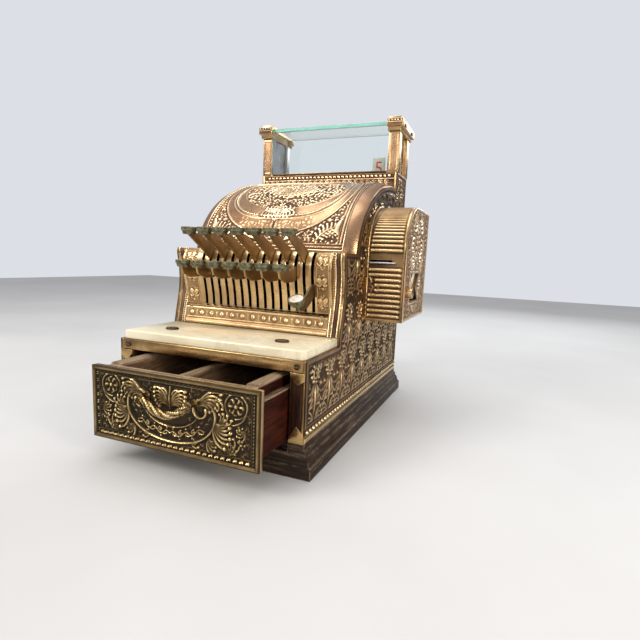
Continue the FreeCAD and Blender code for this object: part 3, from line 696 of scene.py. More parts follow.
def worked_brass(name, hollow, middle, high, rough=0.3, edge=(0.30, 0.62), copper=0.16,
                 polish=((0.33, 0.180, 0.092), (0.48, 0.29, 0.155))):
    """Cast relief: dark oxide and painted shade in the hollows, rubbed bright metal on what stands proud."""
    look = Finish(name)
    cloud = look.noise(38, 5, 0.6)
    grain = look.noise(900, 3, 0.6)
    # level is low in the hollows; its dark end is oxide and painted shade
    level = look.add(look.times(look.attribute("relief"), 0.35),
                      look.times(look.attribute("hollow"), 0.75))
    level = look.add(level, look.span(cloud, 0.3, 0.7, -0.07, 0.07))
    share = look.span(level, edge[0], edge[1])
    colour = look.ramp(share, (0.0, hollow), (0.45, middle), (1.0, high))
    tint = look.mix(look.span(look.noise(14, 3), 0.42, 0.66, 0.0, copper), colour, (0.46, 0.21, 0.11))
    smooth = look.attribute("smooth")
    tint = look.mix(smooth, tint, look.mix(look.span(cloud, 0.35, 0.65), *polish))
    share = look.math("MAXIMUM", share, smooth)
    look.set(Base_Color=tint,
             Metallic=look.span(share, 0.0, 0.5, 0.7, 1.0),
             Roughness=look.add(look.span(share, 0.0, 0.9, 0.58, rough),
                                 look.span(grain, 0.3, 0.7, -0.05, 0.07)))
    matting = look.math("SUBTRACT", look.noise(650, 4, 0.7), look.times(look.cells(900), 0.6))
    matting = look.times(matting, look.span(smooth, 0.0, 1.0, 1.0, 0.15))
    look.bump(look.add(matting, look.times(grain, 0.4)), 0.32, 0.3)


def plain_brass(name, colour, dull, rough, worn, cover):
    """Smooth brass with a cloudy patina, fine scratches and bright edges."""
    look = Finish(name)
    cloud = look.noise(22, 6, 0.62, twist=0.4)
    scratch = look.noise(60, 2, 0.6, stretch=(1.0, 9.0, 9.0))
    stain = look.span(cloud, 0.62 - cover, 0.74)
    mixed = look.mix(stain, colour, dull)
    edge = look.worn_edge(0.7)
    look.set(Base_Color=look.mix(look.times(edge, 0.75), mixed, worn),
             Metallic=1.0,
             Roughness=look.add(look.span(cloud, 0.35, 0.7, rough, rough + 0.2),
                                 look.span(scratch, 0.35, 0.65, -0.05, 0.06)))
    look.bump(look.add(look.noise(300, 4, 0.6), look.times(scratch, 0.5)), 0.10, 0.2)


def polished_wood(name, dark, mid, light, along, rough=0.38, worn=None, gloss=0.4, streaks=0.0):
    """Wood with grain along one axis, open pores and rubbed edges."""
    look = Finish(name)

    def streak(lengthwise, crosswise):
        return tuple(lengthwise if k == along else crosswise for k in range(3))
    fibre = look.noise(34, 6, 0.62, stretch=streak(1.0, 11.0), twist=0.5)
    broad = look.noise(7, 4, 0.5, stretch=streak(0.5, 4.0), twist=1.2)
    pores = look.cells(420, stretch=streak(0.12, 1.0))
    grain = look.add(look.times(fibre, 0.62), look.times(broad, 0.38))
    colour = look.ramp(look.span(grain, 0.36, 0.64), (0.0, dark), (0.5, mid), (1.0, light))
    colour = look.mix(look.span(pores, 0.0, 0.28, 0.55, 0.0), colour, tuple(0.35 * c for c in dark))
    scuff = look.times(look.worn_edge(2.2), look.span(look.noise(45, 5, 0.7), 0.42, 0.6))
    colour = look.mix(look.times(scuff, 0.9), colour, worn or light)
    if streaks:
        rubbed = look.noise(26, 6, 0.7, stretch=streak(0.35, 5.0))
        colour = look.mix(look.span(rubbed, 0.55, 0.68, 0.0, streaks), colour, worn)
    look.set(Base_Color=colour, Specular_IOR_Level=gloss,
             Roughness=look.span(grain, 0.35, 0.65, rough, rough + 0.16),
             Coat_Weight=0.25 * gloss, Coat_Roughness=0.3)
    look.bump(look.math("SUBTRACT", fibre, look.span(pores, 0.0, 0.2, 0.5, 0.0)), 0.25, 0.3)


def ivory_marble():
    look = Finish("ivory_marble")
    vein = look.noise(16, 7, 0.62, stretch=(0.6, 1.6, 1.0), twist=1.6)
    cloud = look.noise(9, 4, 0.5)
    thin = look.span(look.math("ABSOLUTE", look.math("SUBTRACT", vein, 0.5)), 0.0, 0.05, 1.0, 0.0)
    colour = look.ramp(look.span(cloud, 0.3, 0.7), (0.0, (0.66, 0.56, 0.36)), (0.55, (0.78, 0.70, 0.50)),
                       (1.0, (0.86, 0.80, 0.64)))
    colour = look.mix(look.times(thin, 0.42), colour, (0.55, 0.46, 0.30))
    stain = look.times(look.worn_edge(3.0), look.span(look.noise(40, 5), 0.4, 0.62))
    look.set(Base_Color=look.mix(look.times(stain, 0.55), colour, (0.52, 0.42, 0.25)),
             Subsurface_Weight=0.12, Subsurface_Radius=(0.004, 0.003, 0.002), Subsurface_Scale=1.0,
             Roughness=look.span(cloud, 0.3, 0.7, 0.16, 0.30), Coat_Weight=0.25, Coat_Roughness=0.12)
    look.bump(look.noise(140, 4), 0.06, 0.2)


def verdigris():
    """Old key caps: green-grey oxide over bronze, rubbed through at the rims, where the light colour is also
    a painted highlight.
    """
    look = Finish("verdigris")
    cloud = look.noise(260, 5, 0.65)
    edge = look.worn_edge(0.5)
    colour = look.ramp(look.span(cloud, 0.32, 0.68), (0.0, (0.032, 0.030, 0.015)),
                       (0.5, (0.108, 0.095, 0.045)), (1.0, (0.23, 0.21, 0.118)))
    # rims lighter: wear and a painted highlight
    look.set(Base_Color=look.mix(look.times(edge, 0.7), colour, (0.52, 0.48, 0.31)),
             Metallic=look.span(cloud, 0.35, 0.6, 0.55, 0.2),
             Roughness=look.span(cloud, 0.3, 0.7, 0.42, 0.62))
    look.bump(cloud, 0.35, 0.15)


def celluloid():
    look = Finish("celluloid")
    cloud = look.noise(120, 5, 0.6)
    look.set(Base_Color=look.ramp(look.span(cloud, 0.3, 0.7), (0.0, (0.62, 0.45, 0.36)),
                                  (1.0, (0.84, 0.74, 0.62))),
             Roughness=look.span(cloud, 0.3, 0.7, 0.22, 0.4), Coat_Weight=0.5, Coat_Roughness=0.1)
    look.bump(cloud, 0.08, 0.1)


def clear_glass():
    look = Finish("clear_glass")
    haze = look.noise(30, 4)
    look.set(Base_Color=(0.965, 1.0, 0.99, 1.0), Transmission_Weight=1.0, IOR=1.45,
             Roughness=look.span(haze, 0.4, 0.75, 0.0, 0.05))


def glass_edge():
    look = Finish("glass_edge")
    streak = look.noise(18, 4, stretch=(0.5, 1, 1))
    look.set(Base_Color=look.ramp(look.span(streak, 0.35, 0.65), (0.0, (0.21, 0.60, 0.47)),
                                  (1.0, (0.47, 0.87, 0.74))),
             Transmission_Weight=0.25, Roughness=0.22, Coat_Weight=0.6, Coat_Roughness=0.06)
    look.bump(streak, 0.1, 0.2)


def steel(name, dark, light, rough, grain=(1.0, 14.0, 14.0)):
    look = Finish(name)
    brushed = look.noise(70, 4, 0.6, stretch=grain)
    cloud = look.noise(30, 5, 0.6)
    both = look.add(look.times(brushed, 0.5), look.times(cloud, 0.5))
    look.set(Base_Color=look.ramp(look.span(both, 0.35, 0.65), (0.0, dark), (1.0, light)), Metallic=1.0,
             Roughness=look.span(brushed, 0.35, 0.65, rough, rough + 0.16))
    look.bump(brushed, 0.12, 0.15)


def enamel(name, colour, stain):
    look = Finish(name)
    cloud = look.noise(60, 5, 0.6)
    look.set(Base_Color=look.mix(look.span(cloud, 0.5, 0.8), colour, stain),
             Roughness=look.span(cloud, 0.3, 0.7, 0.22, 0.36), Coat_Weight=0.3, Coat_Roughness=0.15)
    look.bump(look.noise(200, 3), 0.05, 0.1)


def paper():
    look = Finish("paper")
    fibre = look.noise(700, 4, 0.7, stretch=(1, 3, 1))
    look.set(Base_Color=look.ramp(look.span(fibre, 0.3, 0.7), (0.0, (0.78, 0.72, 0.58)),
                                  (1.0, (0.90, 0.87, 0.78))),
             Roughness=0.85)
    look.bump(fibre, 0.3, 0.1)


def make_materials():
    worked_brass("lid_brass", (0.048, 0.025, 0.013), (0.36, 0.215, 0.110), (1.0, 0.79, 0.49), 0.22,
                 edge=(0.30, 0.74))
    worked_brass("bank_brass", (0.050, 0.027, 0.012), (0.42, 0.265, 0.122), (0.90, 0.65, 0.34), 0.24,
                 edge=(0.12, 0.84))
    worked_brass("moulding_brass", (0.085, 0.046, 0.021), (0.62, 0.42, 0.21), (1.0, 0.78, 0.47), 0.2,
                 edge=(0.14, 0.66), polish=((0.10, 0.068, 0.036), (0.21, 0.145, 0.075)))
    worked_brass("antique_brass", (0.017, 0.013, 0.006), (0.094, 0.061, 0.024), (0.76, 0.54, 0.25), 0.22,
                 edge=(0.33, 1.02), copper=0.03)
    worked_brass("side_brass", (0.026, 0.015, 0.008), (0.24, 0.142, 0.064), (1.0, 0.78, 0.44), 0.20,
                 edge=(0.32, 0.88), polish=((0.46, 0.31, 0.135), (0.64, 0.45, 0.21)))
    worked_brass("plate_brass", (0.12, 0.075, 0.045), (0.52, 0.35, 0.21), (1.0, 0.80, 0.54), 0.26,
                 edge=(0.24, 0.84))
    worked_brass("rosette_bronze", (0.010, 0.008, 0.006), (0.060, 0.042, 0.026), (0.22, 0.155, 0.085),
                 0.34, edge=(0.25, 0.9))
    worked_brass("ribbed_brass", (0.050, 0.028, 0.012), (0.38, 0.24, 0.11), (0.86, 0.63, 0.33), 0.26,
                 edge=(0.25, 0.85), polish=((0.150, 0.096, 0.050), (0.24, 0.160, 0.084)))
    for name, colour, dull, rough, worn, cover in (
            ("bright_brass", (0.66, 0.46, 0.235), (0.40, 0.245, 0.11), 0.21, (0.95, 0.76, 0.46), 0.22),
            ("bracket_brass", (0.56, 0.37, 0.16), (0.30, 0.18, 0.075), 0.28, (0.85, 0.62, 0.32), 0.2),
            ("copper_band", (0.40, 0.235, 0.13), (0.27, 0.150, 0.080), 0.26, (0.95, 0.74, 0.46), 0.35),
            ("rail_brass", (0.62, 0.40, 0.175), (0.11, 0.060, 0.026), 0.25, (0.90, 0.68, 0.38), 0.24),
            # dark ground brass; on the key slots' side walls and on the sill's top, recesses and top band it
            # is painted shade
            ("ground_and_painted_shade_brass", (0.10, 0.060, 0.030), (0.050, 0.030, 0.017), 0.42, (0.45, 0.30, 0.14), 0.35),
            ("dark_bronze", (0.24, 0.165, 0.082), (0.10, 0.070, 0.036), 0.40, (0.70, 0.56, 0.32), 0.35),
            ("lever_bronze", (0.50, 0.34, 0.165), (0.21, 0.138, 0.068), 0.36, (0.80, 0.62, 0.36), 0.35),
            ("screw_metal", (0.14, 0.09, 0.042), (0.055, 0.040, 0.025), 0.33, (0.42, 0.30, 0.15), 0.35)):
        plain_brass(name, colour, dull, rough, worn, cover)
    for name, along in (("base_walnut_x", 0), ("base_walnut", 1)):
        polished_wood(name, (0.006, 0.0034, 0.0021), (0.020, 0.011, 0.0068), (0.047, 0.028, 0.017), along,
                      worn=(0.36, 0.26, 0.17), gloss=0.12, streaks=0.26)
    polished_wood("mahogany", (0.008, 0.0018, 0.0009), (0.033, 0.0062, 0.0027), (0.070, 0.0155, 0.0065), 1,
                  rough=0.52, worn=(0.22, 0.10, 0.045), gloss=0.06)
    polished_wood("post_mahogany", (0.006, 0.0022, 0.001), (0.019, 0.0065, 0.0028),
                  (0.040, 0.015, 0.0065), 2, worn=(0.24, 0.13, 0.06), gloss=0.12)
    polished_wood("liner_wood", (0.040, 0.022, 0.011), (0.12, 0.066, 0.033), (0.24, 0.145, 0.075), 1,
                  rough=0.5, worn=(0.45, 0.32, 0.19))
    polished_wood("worn_wood", (0.085, 0.052, 0.028), (0.20, 0.130, 0.074), (0.35, 0.25, 0.16), 1, rough=0.5,
                  worn=(0.50, 0.38, 0.26))
    ivory_marble()
    verdigris()
    celluloid()
    clear_glass()
    glass_edge()
    steel("liner_steel", (0.20, 0.20, 0.20), (0.62, 0.63, 0.63), 0.32, grain=(14.0, 14.0, 1.0))
    steel("bright_steel", (0.45, 0.45, 0.46), (0.78, 0.79, 0.82), 0.2)
    steel("dark_steel", (0.020, 0.020, 0.022), (0.075, 0.072, 0.070), 0.4)
    enamel("tablet_enamel", (1.0, 0.96, 0.76), (0.88, 0.76, 0.48))
    enamel("red_enamel", (0.95, 0.040, 0.025), (0.75, 0.030, 0.020))
    enamel("black_enamel", (0.030, 0.028, 0.026), (0.07, 0.06, 0.05))
    paper()


# ---------------------------------------------------------------- drawer

# the width of the drawer front's plain rim, and how thick the drawer's boards are
RIM = 4.2
BOARD = 8.0
# the line around the ribbon: its length, how far it turns, and how late it rolls up
RIBBON_LENGTH, RIBBON_BEND, RIBBON_ROLL = 132, 465, 5.0


def draw_drawer_front():
    """Scrolls and acanthus inside a plain rim, with a leafy ribbon under the handle."""
    (left, _, low), (right, _, high) = box_mm("drawer_front")
    field = Field(left, right, low, high, 0.5)
    top = high - RIM
    foot = low + RIM
    inner_left, inner_right = left + RIM + 4.6, right - RIM - 4.6

    # the right half, mirrored later: a circular medallion with its tail
    hub = (74.5, top - 14.0)
    field.stroke(oval(hub, 11.8, 11.8, -95, 235), [0.9, 1.2, 0.9], 1.9)
    field.stroke(curl((hub[0] + 11, hub[1] - 6), -110, 30, -92), [1.1, 1.3, 0.7], 1.8)
    field.flower(*hub, 8.8, petals=6, height=2.6)
    for angle in range(20, 380, 45):
        field.stroke(curl(polar(hub, 7, angle), angle + 50, 4.5, 90), [0.8, 1.1, 0.9], 1.7)

    # the ribbon's outer line runs up and rolls into a volute
    ribbon = foot + 7.7
    volute = curl((0.5, ribbon), 0, RIBBON_LENGTH, RIBBON_BEND, tighten=RIBBON_ROLL)
    field.stroke(volute, [1.6, 1.7, 1.8, 2.1, 1.8], 2.8)
    field.bump(*volute[-1], 3.4, 3.1)
    field.stroke(curl((0.5, ribbon + 15.5), 0, 38, 62, tighten=0.4), [1.2, 1.2, 0.8], 2.1)
    way = np.linspace(0, 40, 60)
    middle = ribbon + 8.6 + 0.0062 * way ** 2
    field.stroke(np.column_stack([way, middle + 2.2 * np.sin(way / 2.4)]), [1.1, 1.2, 0.9], 2.4)
    for k in range(5):
        u, over = 2.4 * math.pi * (k + 0.5), 1 if k % 2 else -1
        v = ribbon + 8.6 + 0.0062 * u * u
        field.wing((u, v - 1.0 * over), 90 * over + 26, 6.4, -130 * over, 3, -46, 0.9, 2.4)
        field.bump(u, v - 5.0 * over, 1.5, 2.2)

    # acanthus over the volute, outside it and under it
    field.wings(((32, top - 20), 64, 34, -96, 6, -34, 1.9, 3.0),
                ((47, top - 12), 24, 19, -150, 4, -50, 1.5, 2.6),
                ((51, foot + 36), -98, 30, 100, 7, 72, 1.9, 3.0),
                ((56, foot + 38), -30, 17, 120, 4, 62, 1.5, 2.6),
                ((45, foot + 19), -112, 17, 105, 5, 66, 1.5, 2.5),
                ((25, foot + 12), -66, 11, 120, 3, 60, 1.2, 2.1))

    # roses and leaves in the lower corner
    field.wings(((66, foot + 6), 20, 24, 95, 5, 62, 1.2, 2.2),
                ((85, foot + 34), -84, 16, -110, 4, -50, 1.2, 2.2))
    field.flower(72, foot + 12, 5.4, petals=5, height=2.6, turn=18)
    field.flower(81, foot + 19, 4.8, petals=5, height=2.5)
    field.flower(79, foot + 33, 4.6, petals=5, height=2.4, turn=40)

    # palmette over the handle
    field.wings(((1.5, top - 25), 84, 27, -112, 6, -42, 1.8, 2.9),
                ((2.0, top - 18), 92, 17, -150, 4, -34, 1.5, 2.6))
    field.line((0, top - 27), (0, top - 6), [1.2, 2.2, 1.2], 3.0)
    u, v = field.grid()
    field.foliage((u < inner_right - 2) & (u > 22) & (v > foot + 7) & (v < top - 4), 4.8, 1.7, seed=7,
                  tries=6000, room=0.36)
    field.mirror()

    # borders: dashes up the left, a rope up the right, dashes along the top, darts along the bottom
    field.clear((u < inner_left) | (u > inner_right) | (v < foot + 5.4) | (v > top - 3.4))
    for edge in (inner_left, inner_right):
        field.line((edge, foot), (edge, top), 0.6, 1.3)
    field.line((inner_left, top - 3.4), (inner_right, top - 3.4), 0.5, 1.2)
    field.line((inner_left, foot + 5.6), (inner_right, foot + 5.6), 0.6, 1.3)
    for v_dash in np.arange(foot + 3, top - 2, 7.6):
        for shift in (0.0, 2.0):
            field.line((left + RIM + 1.3, v_dash + shift), (inner_left - 1.5, v_dash + shift), [0.7, 0.9],
                       2.0)
    for shift in (-34, 34):
        field.rope((right - RIM - 2.2, foot + 2), (right - RIM - 2.2, top - 2), 3.4, 2.6, 0.75, 1.9,
                   slant=shift)
    field.rope((inner_left + 2, top - 1.6), (inner_right - 2, top - 1.6), 5.2, 3.4, 0.6, 1.5, slant=4)
    for shift, lean in ((0.0, 62), (1.6, 62), (3.2, 100)):
        field.rope((inner_left + 2 + shift, foot + 2.6), (inner_right - 5 + shift, foot + 2.6), 6.8, 4.0,
                   0.95, 3.0, slant=lean)
    field.beads((inner_left + 7.0, foot + 2.6), (inner_right - 3.5, foot + 2.6), 6.8, 1.5, 3.3)

    # the plain rim: rounded at both edges
    apart = field.margin()
    swell = np.clip(np.sin(np.pi * np.clip((apart + 0.7) / (RIM + 1), 0, 1)), 0, 1) ** 0.4
    field.raise_to(np.where(apart < RIM, 2.0 * swell, 0))
    return field


def swag_handle():
    """The cast pull: a drooping acanthus bar with leafy volutes where it meets the drawer front."""
    (_, front, low), (right, back, high) = box_mm("drawer_pull")
    reach = right - 4.8
    thick = 4.1
    bottom = low + thick + 0.6
    lift = high - 5.6 - bottom
    count = 96
    share = np.linspace(-1, 1, count)
    path = np.column_stack([reach * share, front + thick + 0.9 + 0.4 * share ** 2,
                            bottom + lift * np.abs(share) ** 1.8])
    knots = np.cos(11 * math.pi * share) ** 2
    radii = thick * (0.60 + 0.26 * np.cos(math.pi * share / 2) ** 0.8 + 0.10 * knots)
    bar = tube("drawer_pull_bar", path, radii, "drawer", "antique_brass", sides=36,
               lobes=4, twist=10 * math.pi, depth=0.14)
    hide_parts("drawer_pull")
    for hand, side in SIDES:
        for k in range(4):
            share = 1 - 0.2 * k
            root = (hand * reach * share, front + 2.6 + 0.3 * k, bottom + lift * share ** 1.8 + 0.6)
            leaf = leaf_solid(10.5 - 1.5 * k, 4.0 - 0.4 * k, 1.6)
            turn = Matrix.Rotation(math.radians(hand * (70 - 30 * k)), 4, "Y")
            place = Matrix.Translation(Vector(root) * MM) @ turn @ Matrix.Scale(hand, 4, (1, 0, 0))
            leaf.transform(place)
            if hand < 0:
                leaf.flip_normals()
            settle(linked(f"drawer_pull_leaf_{side[0]}{k}", leaf), "drawer",
                   ["antique_brass"])
        turned_post(f"drawer_pull_post_{side[0]}", hand * reach, high - 5.4, front + 3.0, back)


def leaf_solid(length, width, curl_up):
    """A small closed acanthus leaf: a ribbed shell that lifts and rolls over at its tip."""
    rows, cols = 25, 13
    share = np.linspace(0, 1, rows)[:, None]
    across = np.linspace(-1, 1, cols)[None, :]
    notch = 1 - 0.28 * np.abs(np.sin(4.5 * math.pi * share)) * np.abs(across)
    half = width * np.sin(math.pi * np.clip(share * 0.86 + 0.14, 0, 1)) ** 0.7 * notch
    roll = 2.6 * share ** 2
    along = length * (share * np.cos(0.5 * roll)) * np.ones_like(across)
    ribs = np.cos(3 * math.pi * across)
    lift = curl_up * np.sin(roll) + 0.55 * ribs * np.sin(math.pi * share) + 0.5 * across ** 2
    upper = np.stack([along, -lift, half * across], axis=-1)
    lower = upper + np.array([0, 0.9, 0]) * np.sin(math.pi * np.clip(share * 0.9 + 0.1, 0, 1))[..., None]
    points = np.concatenate([upper.reshape(-1, 3), lower.reshape(-1, 3)])
    index = np.arange(rows * cols).reshape(rows, cols)
    face = grid_quads(rows, cols).reshape(-1, 4)
    rim = np.concatenate([index[0, :], index[1:, -1], index[-1, -2::-1], index[-2:0:-1, 0]])
    after = np.roll(rim, -1)
    shift = rows * cols
    sides = np.stack([rim, rim + shift, after + shift, after], axis=-1)
    mesh = mesh_of("leaf", points, np.concatenate([face, face[:, ::-1] + shift, sides]))
    high = np.clip(0.35 + 0.6 * ribs * np.ones_like(share), 0, 1).ravel()
    mark(mesh, relief=np.concatenate([high, high * 0.3]), hollow=0.6)
    return mesh


def turned_post(name, x, z, front, back):
    reach = back - front
    profile = [(0, 4.0), (0.08 * reach, 4.1), (0.16 * reach, 3.3), (0.5 * reach, 2.8), (0.7 * reach, 3.0),
               (0.84 * reach, 3.7)] + dome_profile(3.9, 0.12 * reach, 0.88 * reach)
    lathe(name, [(0, 0.01)] + profile, (x, back - 0.2, z), (0, -1, 0), "drawer",
                 "antique_brass")


def make_crests():
    """The rubbed rounded tops of the drawer's two liners and its divider."""
    low, high = box_mm("drawer_box")
    nose, liner = 8.2, 14.0
    outer = high[0] - BOARD
    for name, left, right, top, rise in (("left", -outer, liner - outer, high[2], 3.2),
                                         ("right", outer - liner, outer, high[2], 3.2),
                                         ("divider", -5.0, 5.0, high[2] - 3.0, 2.6)):
        field = Field(left + 0.2, right - 0.2, low[1] + nose, high[1] - nose, 0.7)
        middle, half = (left + right) / 2, (right - left) / 2
        u, _ = field.grid()
        field.raise_to(rise * np.sqrt(np.clip(1 - ((u - middle) / half) ** 2, 0, 1)))
        relief(f"drawer_crest_{name}", field, flat_place(TOP, top), "worn_wood", body="drawer",
               lift=0.05)


def make_drawer():
    front = box_mm("drawer_front")[0][1]
    relief("drawer_front_relief", draw_drawer_front(), flat_place(FRONT, front), "antique_brass",
           body="drawer")
    softened("drawer_front", "bright_brass", body="drawer", slot="antique_brass", bevel=0.8)
    swag_handle()
    make_crests()
    _, high = box_mm("drawer_box")
    liner = high[0] - BOARD

    def wood(centre, normal):
        if normal.z > 0.6 and centre.z > 80:
            return 2
        return 0 if abs(centre.x) > liner - 0.5 else 1
    softened("drawer_box", "mahogany", "liner_wood", "worn_wood", body="drawer", slot="mahogany", bevel=1.2,
             segments=3, pick=wood)


# ---------------------------------------------------------------- lid

# the lid's width between the side panels
LID_WIDTH = 207.0


def draw_lid(width, length):
    """Oval cartouche of scrollwork between beaded borders."""
    half = width / 2
    field = Field(-half, half, 0, length, 0.75)
    u, v = field.grid()
    middle = 0.537 * length

    def radius(size_u, size_v, power):
        """1 on a rounded rectangle about the cartouche's middle."""
        return (np.abs(u / size_u) ** power + np.abs((v - middle) / size_v) ** power) ** (1 / power)

    heart, line, brim = radius(75, 54, 2.0), radius(80, 69, 2.8), radius(93, 96, 2.5)

    # left half, then mirrored: scrolls in the cartouche
    field.wings(((-1, middle - 10), 200, 64, -150, 6, -46, 1.3, 2.3),
                ((-1, middle + 8), 164, 62, 150, 6, 44, 1.3, 2.3))
    field.plume((-4, middle - 20), 190, 60, -300, width=1.4, fingers=9, reach=8, height=2.2, inner=True)
    field.plume((-4, middle + 24), 176, 62, 300, width=1.4, fingers=9, reach=8, height=2.2, inner=True)
    field.plume((-50, middle - 12), 150, 34, 260, width=1.2, fingers=7, reach=7, height=2.0, inner=True)
    field.leaf((0, middle - 30), 90, 30, 9, lobes=6, height=2.4)
    field.flower(0, middle + 10, 7, petals=8, height=2.5)
    field.foliage((heart < 0.97) & (u < 1), 4.4, 2.5, seed=3, tries=7000, room=0.36)
    field.clear(heart > 0.985)

    # corners outside the cartouche
    kept = field.h.copy()
    field.h[:] = 0
    field.wings(((-20, 12), 168, 56, -120, 6, -40, 1.5, 2.2),
                ((-94, 20), 74, 44, 130, 6, -36, 1.4, 2.2),
                ((-92, length - 14), -74, 44, -130, 6, 36, 1.4, 2.2))
    field.leaf((-66, 14), 120, 30, 9, bend=44, lobes=6, height=2.1)
    field.flower(-86, 22, 7.0, petals=7, height=2.5)
    field.flower(-50, 19, 5.0, petals=6, height=2.3)
    field.foliage((brim > 1.02) & (u < 1) & (u > -half + 9) & (v > 9), 4.4, 2.5, seed=5, tries=7000,
                  room=0.36)
    field.clear(brim < 1.03)
    field.raise_to(kept)

    # smooth bands: inside and outside the bright double line
    polished = (heart > 1.0) & (brim < 1.0)
    field.raise_to(np.where(polished, 0.7, 0.0))
    field.smooth = np.where(polished, 1.0, 0.0)
    for size, width, rise in ((75.0 * (line - 1.0), 1.5, 2.7), (75.0 * (line - 1.055), 0.9, 1.7),
                              (80.0 * (heart - 1.0), 0.9, 1.6), (95.0 * (brim - 1.0), 1.0, 1.5)):
        field.ridge(size, width, rise, 0.7)
        field.smooth = np.where(np.abs(size) < width, 0.0, field.smooth)

    # leaves over the double line at its foot
    foot = middle - 69
    below = (line > 1.10) & (brim < 1.0) & (v < foot) & (np.abs(u) < 54)
    over = ((np.hypot(u / 29, (v - foot - 8) / 21) < 1) | below) & (u < 1)
    field.clear(over)
    field.smooth = np.where(over | over[:, ::-1], 0.0, field.smooth)
    field.wings(((-1, foot + 12), 160, 30, 130, 5, 50, 1.2, 2.9),
                ((-1, foot + 8), 198, 26, -130, 4, -48, 1.1, 2.6))
    field.leaf((0, foot - 8), 90, 32, 5.0, lobes=7, height=2.7)
    field.foliage(over & (v < foot), 4.2, 2.2, seed=9, tries=2500, room=0.36)
    field.clear((u < 1) & ~over & (line > 1.09) & (brim < 0.985) & (v < foot) & (field.h > 2.0))
    field.mirror()
    field.smooth = np.maximum(field.smooth, field.smooth[:, ::-1]) * (heart > 0.99)

    # borders
    for hand in (-1, 1):
        edge = hand * (half - 1.0)
        field.clear(hand * u > half - 9.4)
        field.line((edge, 0), (edge, length), 0.9, 1.6)
        field.line((edge - hand * 7.6, 8), (edge - hand * 7.6, length), 0.5, 1.1)
        if hand < 0:
            field.beads((edge + 3.8, 6), (edge + 3.8, length - 2), 5.0, 1.9, 1.9)
        else:
            field.rope((edge - 3.9, 6), (edge - 3.9, length - 2), 2.9, 4.6, 0.9, 1.6, slant=42)
    field.clear((v < 8.0) & (np.abs(u) < half - 2))
    field.rope((-half + 4, 4.4), (half - 4, 4.4), 3.3, 4.4, 0.9, 1.5, slant=35)
    field.line((-half, 8.2), (half, 8.2), 0.6, 1.1)
    field.band(-half, half, -1.0, 1.6, 1.5, slope=0.8)
    return field


def make_lid():
    """The arched lid: copper-toned sheet with the relief laid along its arch."""
    low, high = box_mm("lid")
    arch_centre = (high[1] - 11.7, low[2] - 15.3)
    place, length = swept_place(round_profile("lid", 60.0, arch_centre, 5.6, 88.0))
    relief("lid_relief", draw_lid(LID_WIDTH, length), place, "lid_brass", body="lid")
    softened("lid", "copper_band", body="lid", bevel=0.6)


# ---------------------------------------------------------------- side panels

def draw_side(loops, y_low, y_high, z_low, z_high, seed):
    """Tall flowers between long leaves, over a beaded foot and inside a smooth border."""
    field = Field(y_low, y_high, z_low, z_high, 1.05)
    u, v = field.grid()
    apart, _, _ = nearest_edge(loops, u, v)
    ground = inside_loops(loops, u, v) & (apart > 7.5) & (v > z_low + 19)
    root = z_low + 16
    pitch, tier = 40.0, 66.0
    for n in range(6):
        for k in range(11):
            y = y_low + 22 + (k + 0.5 * (n % 2)) * pitch
            base = root + n * tier - (12 if n % 2 else 0)
            if y > y_high - 10 or base > z_high:
                continue
            head = base + 0.82 * tier
            field.twin_wings(y, (2.2, head - 10, -90, 16, 0.60 * tier, 34, 3, 18, 1.35, 2.8),
                             (1.5, base + 2, 90, -22, 0.44 * tier, -115, 4, -46, 1.5, 2.6),
                             (1.5, base + 0.40 * tier, 90, -62, 0.26 * tier, -130, 4, -50, 1.4, 2.4))
            for hand in (-1, 1):
                field.flower(y + 15 * hand, base + 0.62 * tier, 5.0, petals=5, height=2.7, turn=20 * hand)
                field.bump(y + 15 * hand, base + 0.62 * tier, 2.4, 3.8)
                field.bump(y + 9 * hand, base + 0.30 * tier, 2.2, 3.4)
                field.bump(y + 12 * hand, base + 0.86 * tier, 2.0, 3.2)
            field.blade((y, head - 8), -90, 0.62 * tier, 4.8, height=3.0)
            field.stroke(oval((y, head), 5.6, 5.6), [1.7, 1.7], 2.9)
            for turn in range(0, 360, 40):
                field.bump(*polar((y, head), 9.2, turn), 2.5, 3.5)
    field.foliage(ground, 5.6, 1.8, seed=seed, tries=7000, room=0.62)
    field.clear(~ground)
    field.raise_to(np.where(apart < 3.6, 1.3 * np.clip(np.minimum(apart + 0.6, 4.2 - apart), 0, 1), 0))
    field.ridge(apart - 6.2, 0.9, 0.9)
    field.clear(v < z_low + 17.5)
    field.band(y_low, y_high, z_low, z_low + 7.6, 1.6, slope=1.0)
    field.beads((y_low + 5, z_low + 11.8), (y_high - 5, z_low + 11.8), 8.2, 3.1, 3.8)
    field.line((y_low, z_low + 16.2), (y_high, z_low + 16.2), 0.9, 1.6)
    field.smooth = np.where(v < z_low + 7.6, 1.0, 0.0)
    return field


def make_sides():
    """The same casting on both sides, each trimmed to its own panel's outline."""
    for name, hand, seed in (("side_panel_left", -1, 11), ("side_panel_right", 1, 12)):
        low, high = box_mm(name)
        x = low[0] if hand < 0 else high[0]
        loops = [max(face_loops(name, 0, x), key=len)]
        field = draw_side(loops, low[1], high[1], low[2], high[2], seed)
        relief(name + "_relief", field, flat_place((hand, 0, 0), x), "side_brass", loops=loops)
        softened(name, "rail_brass", bevel=0.5)


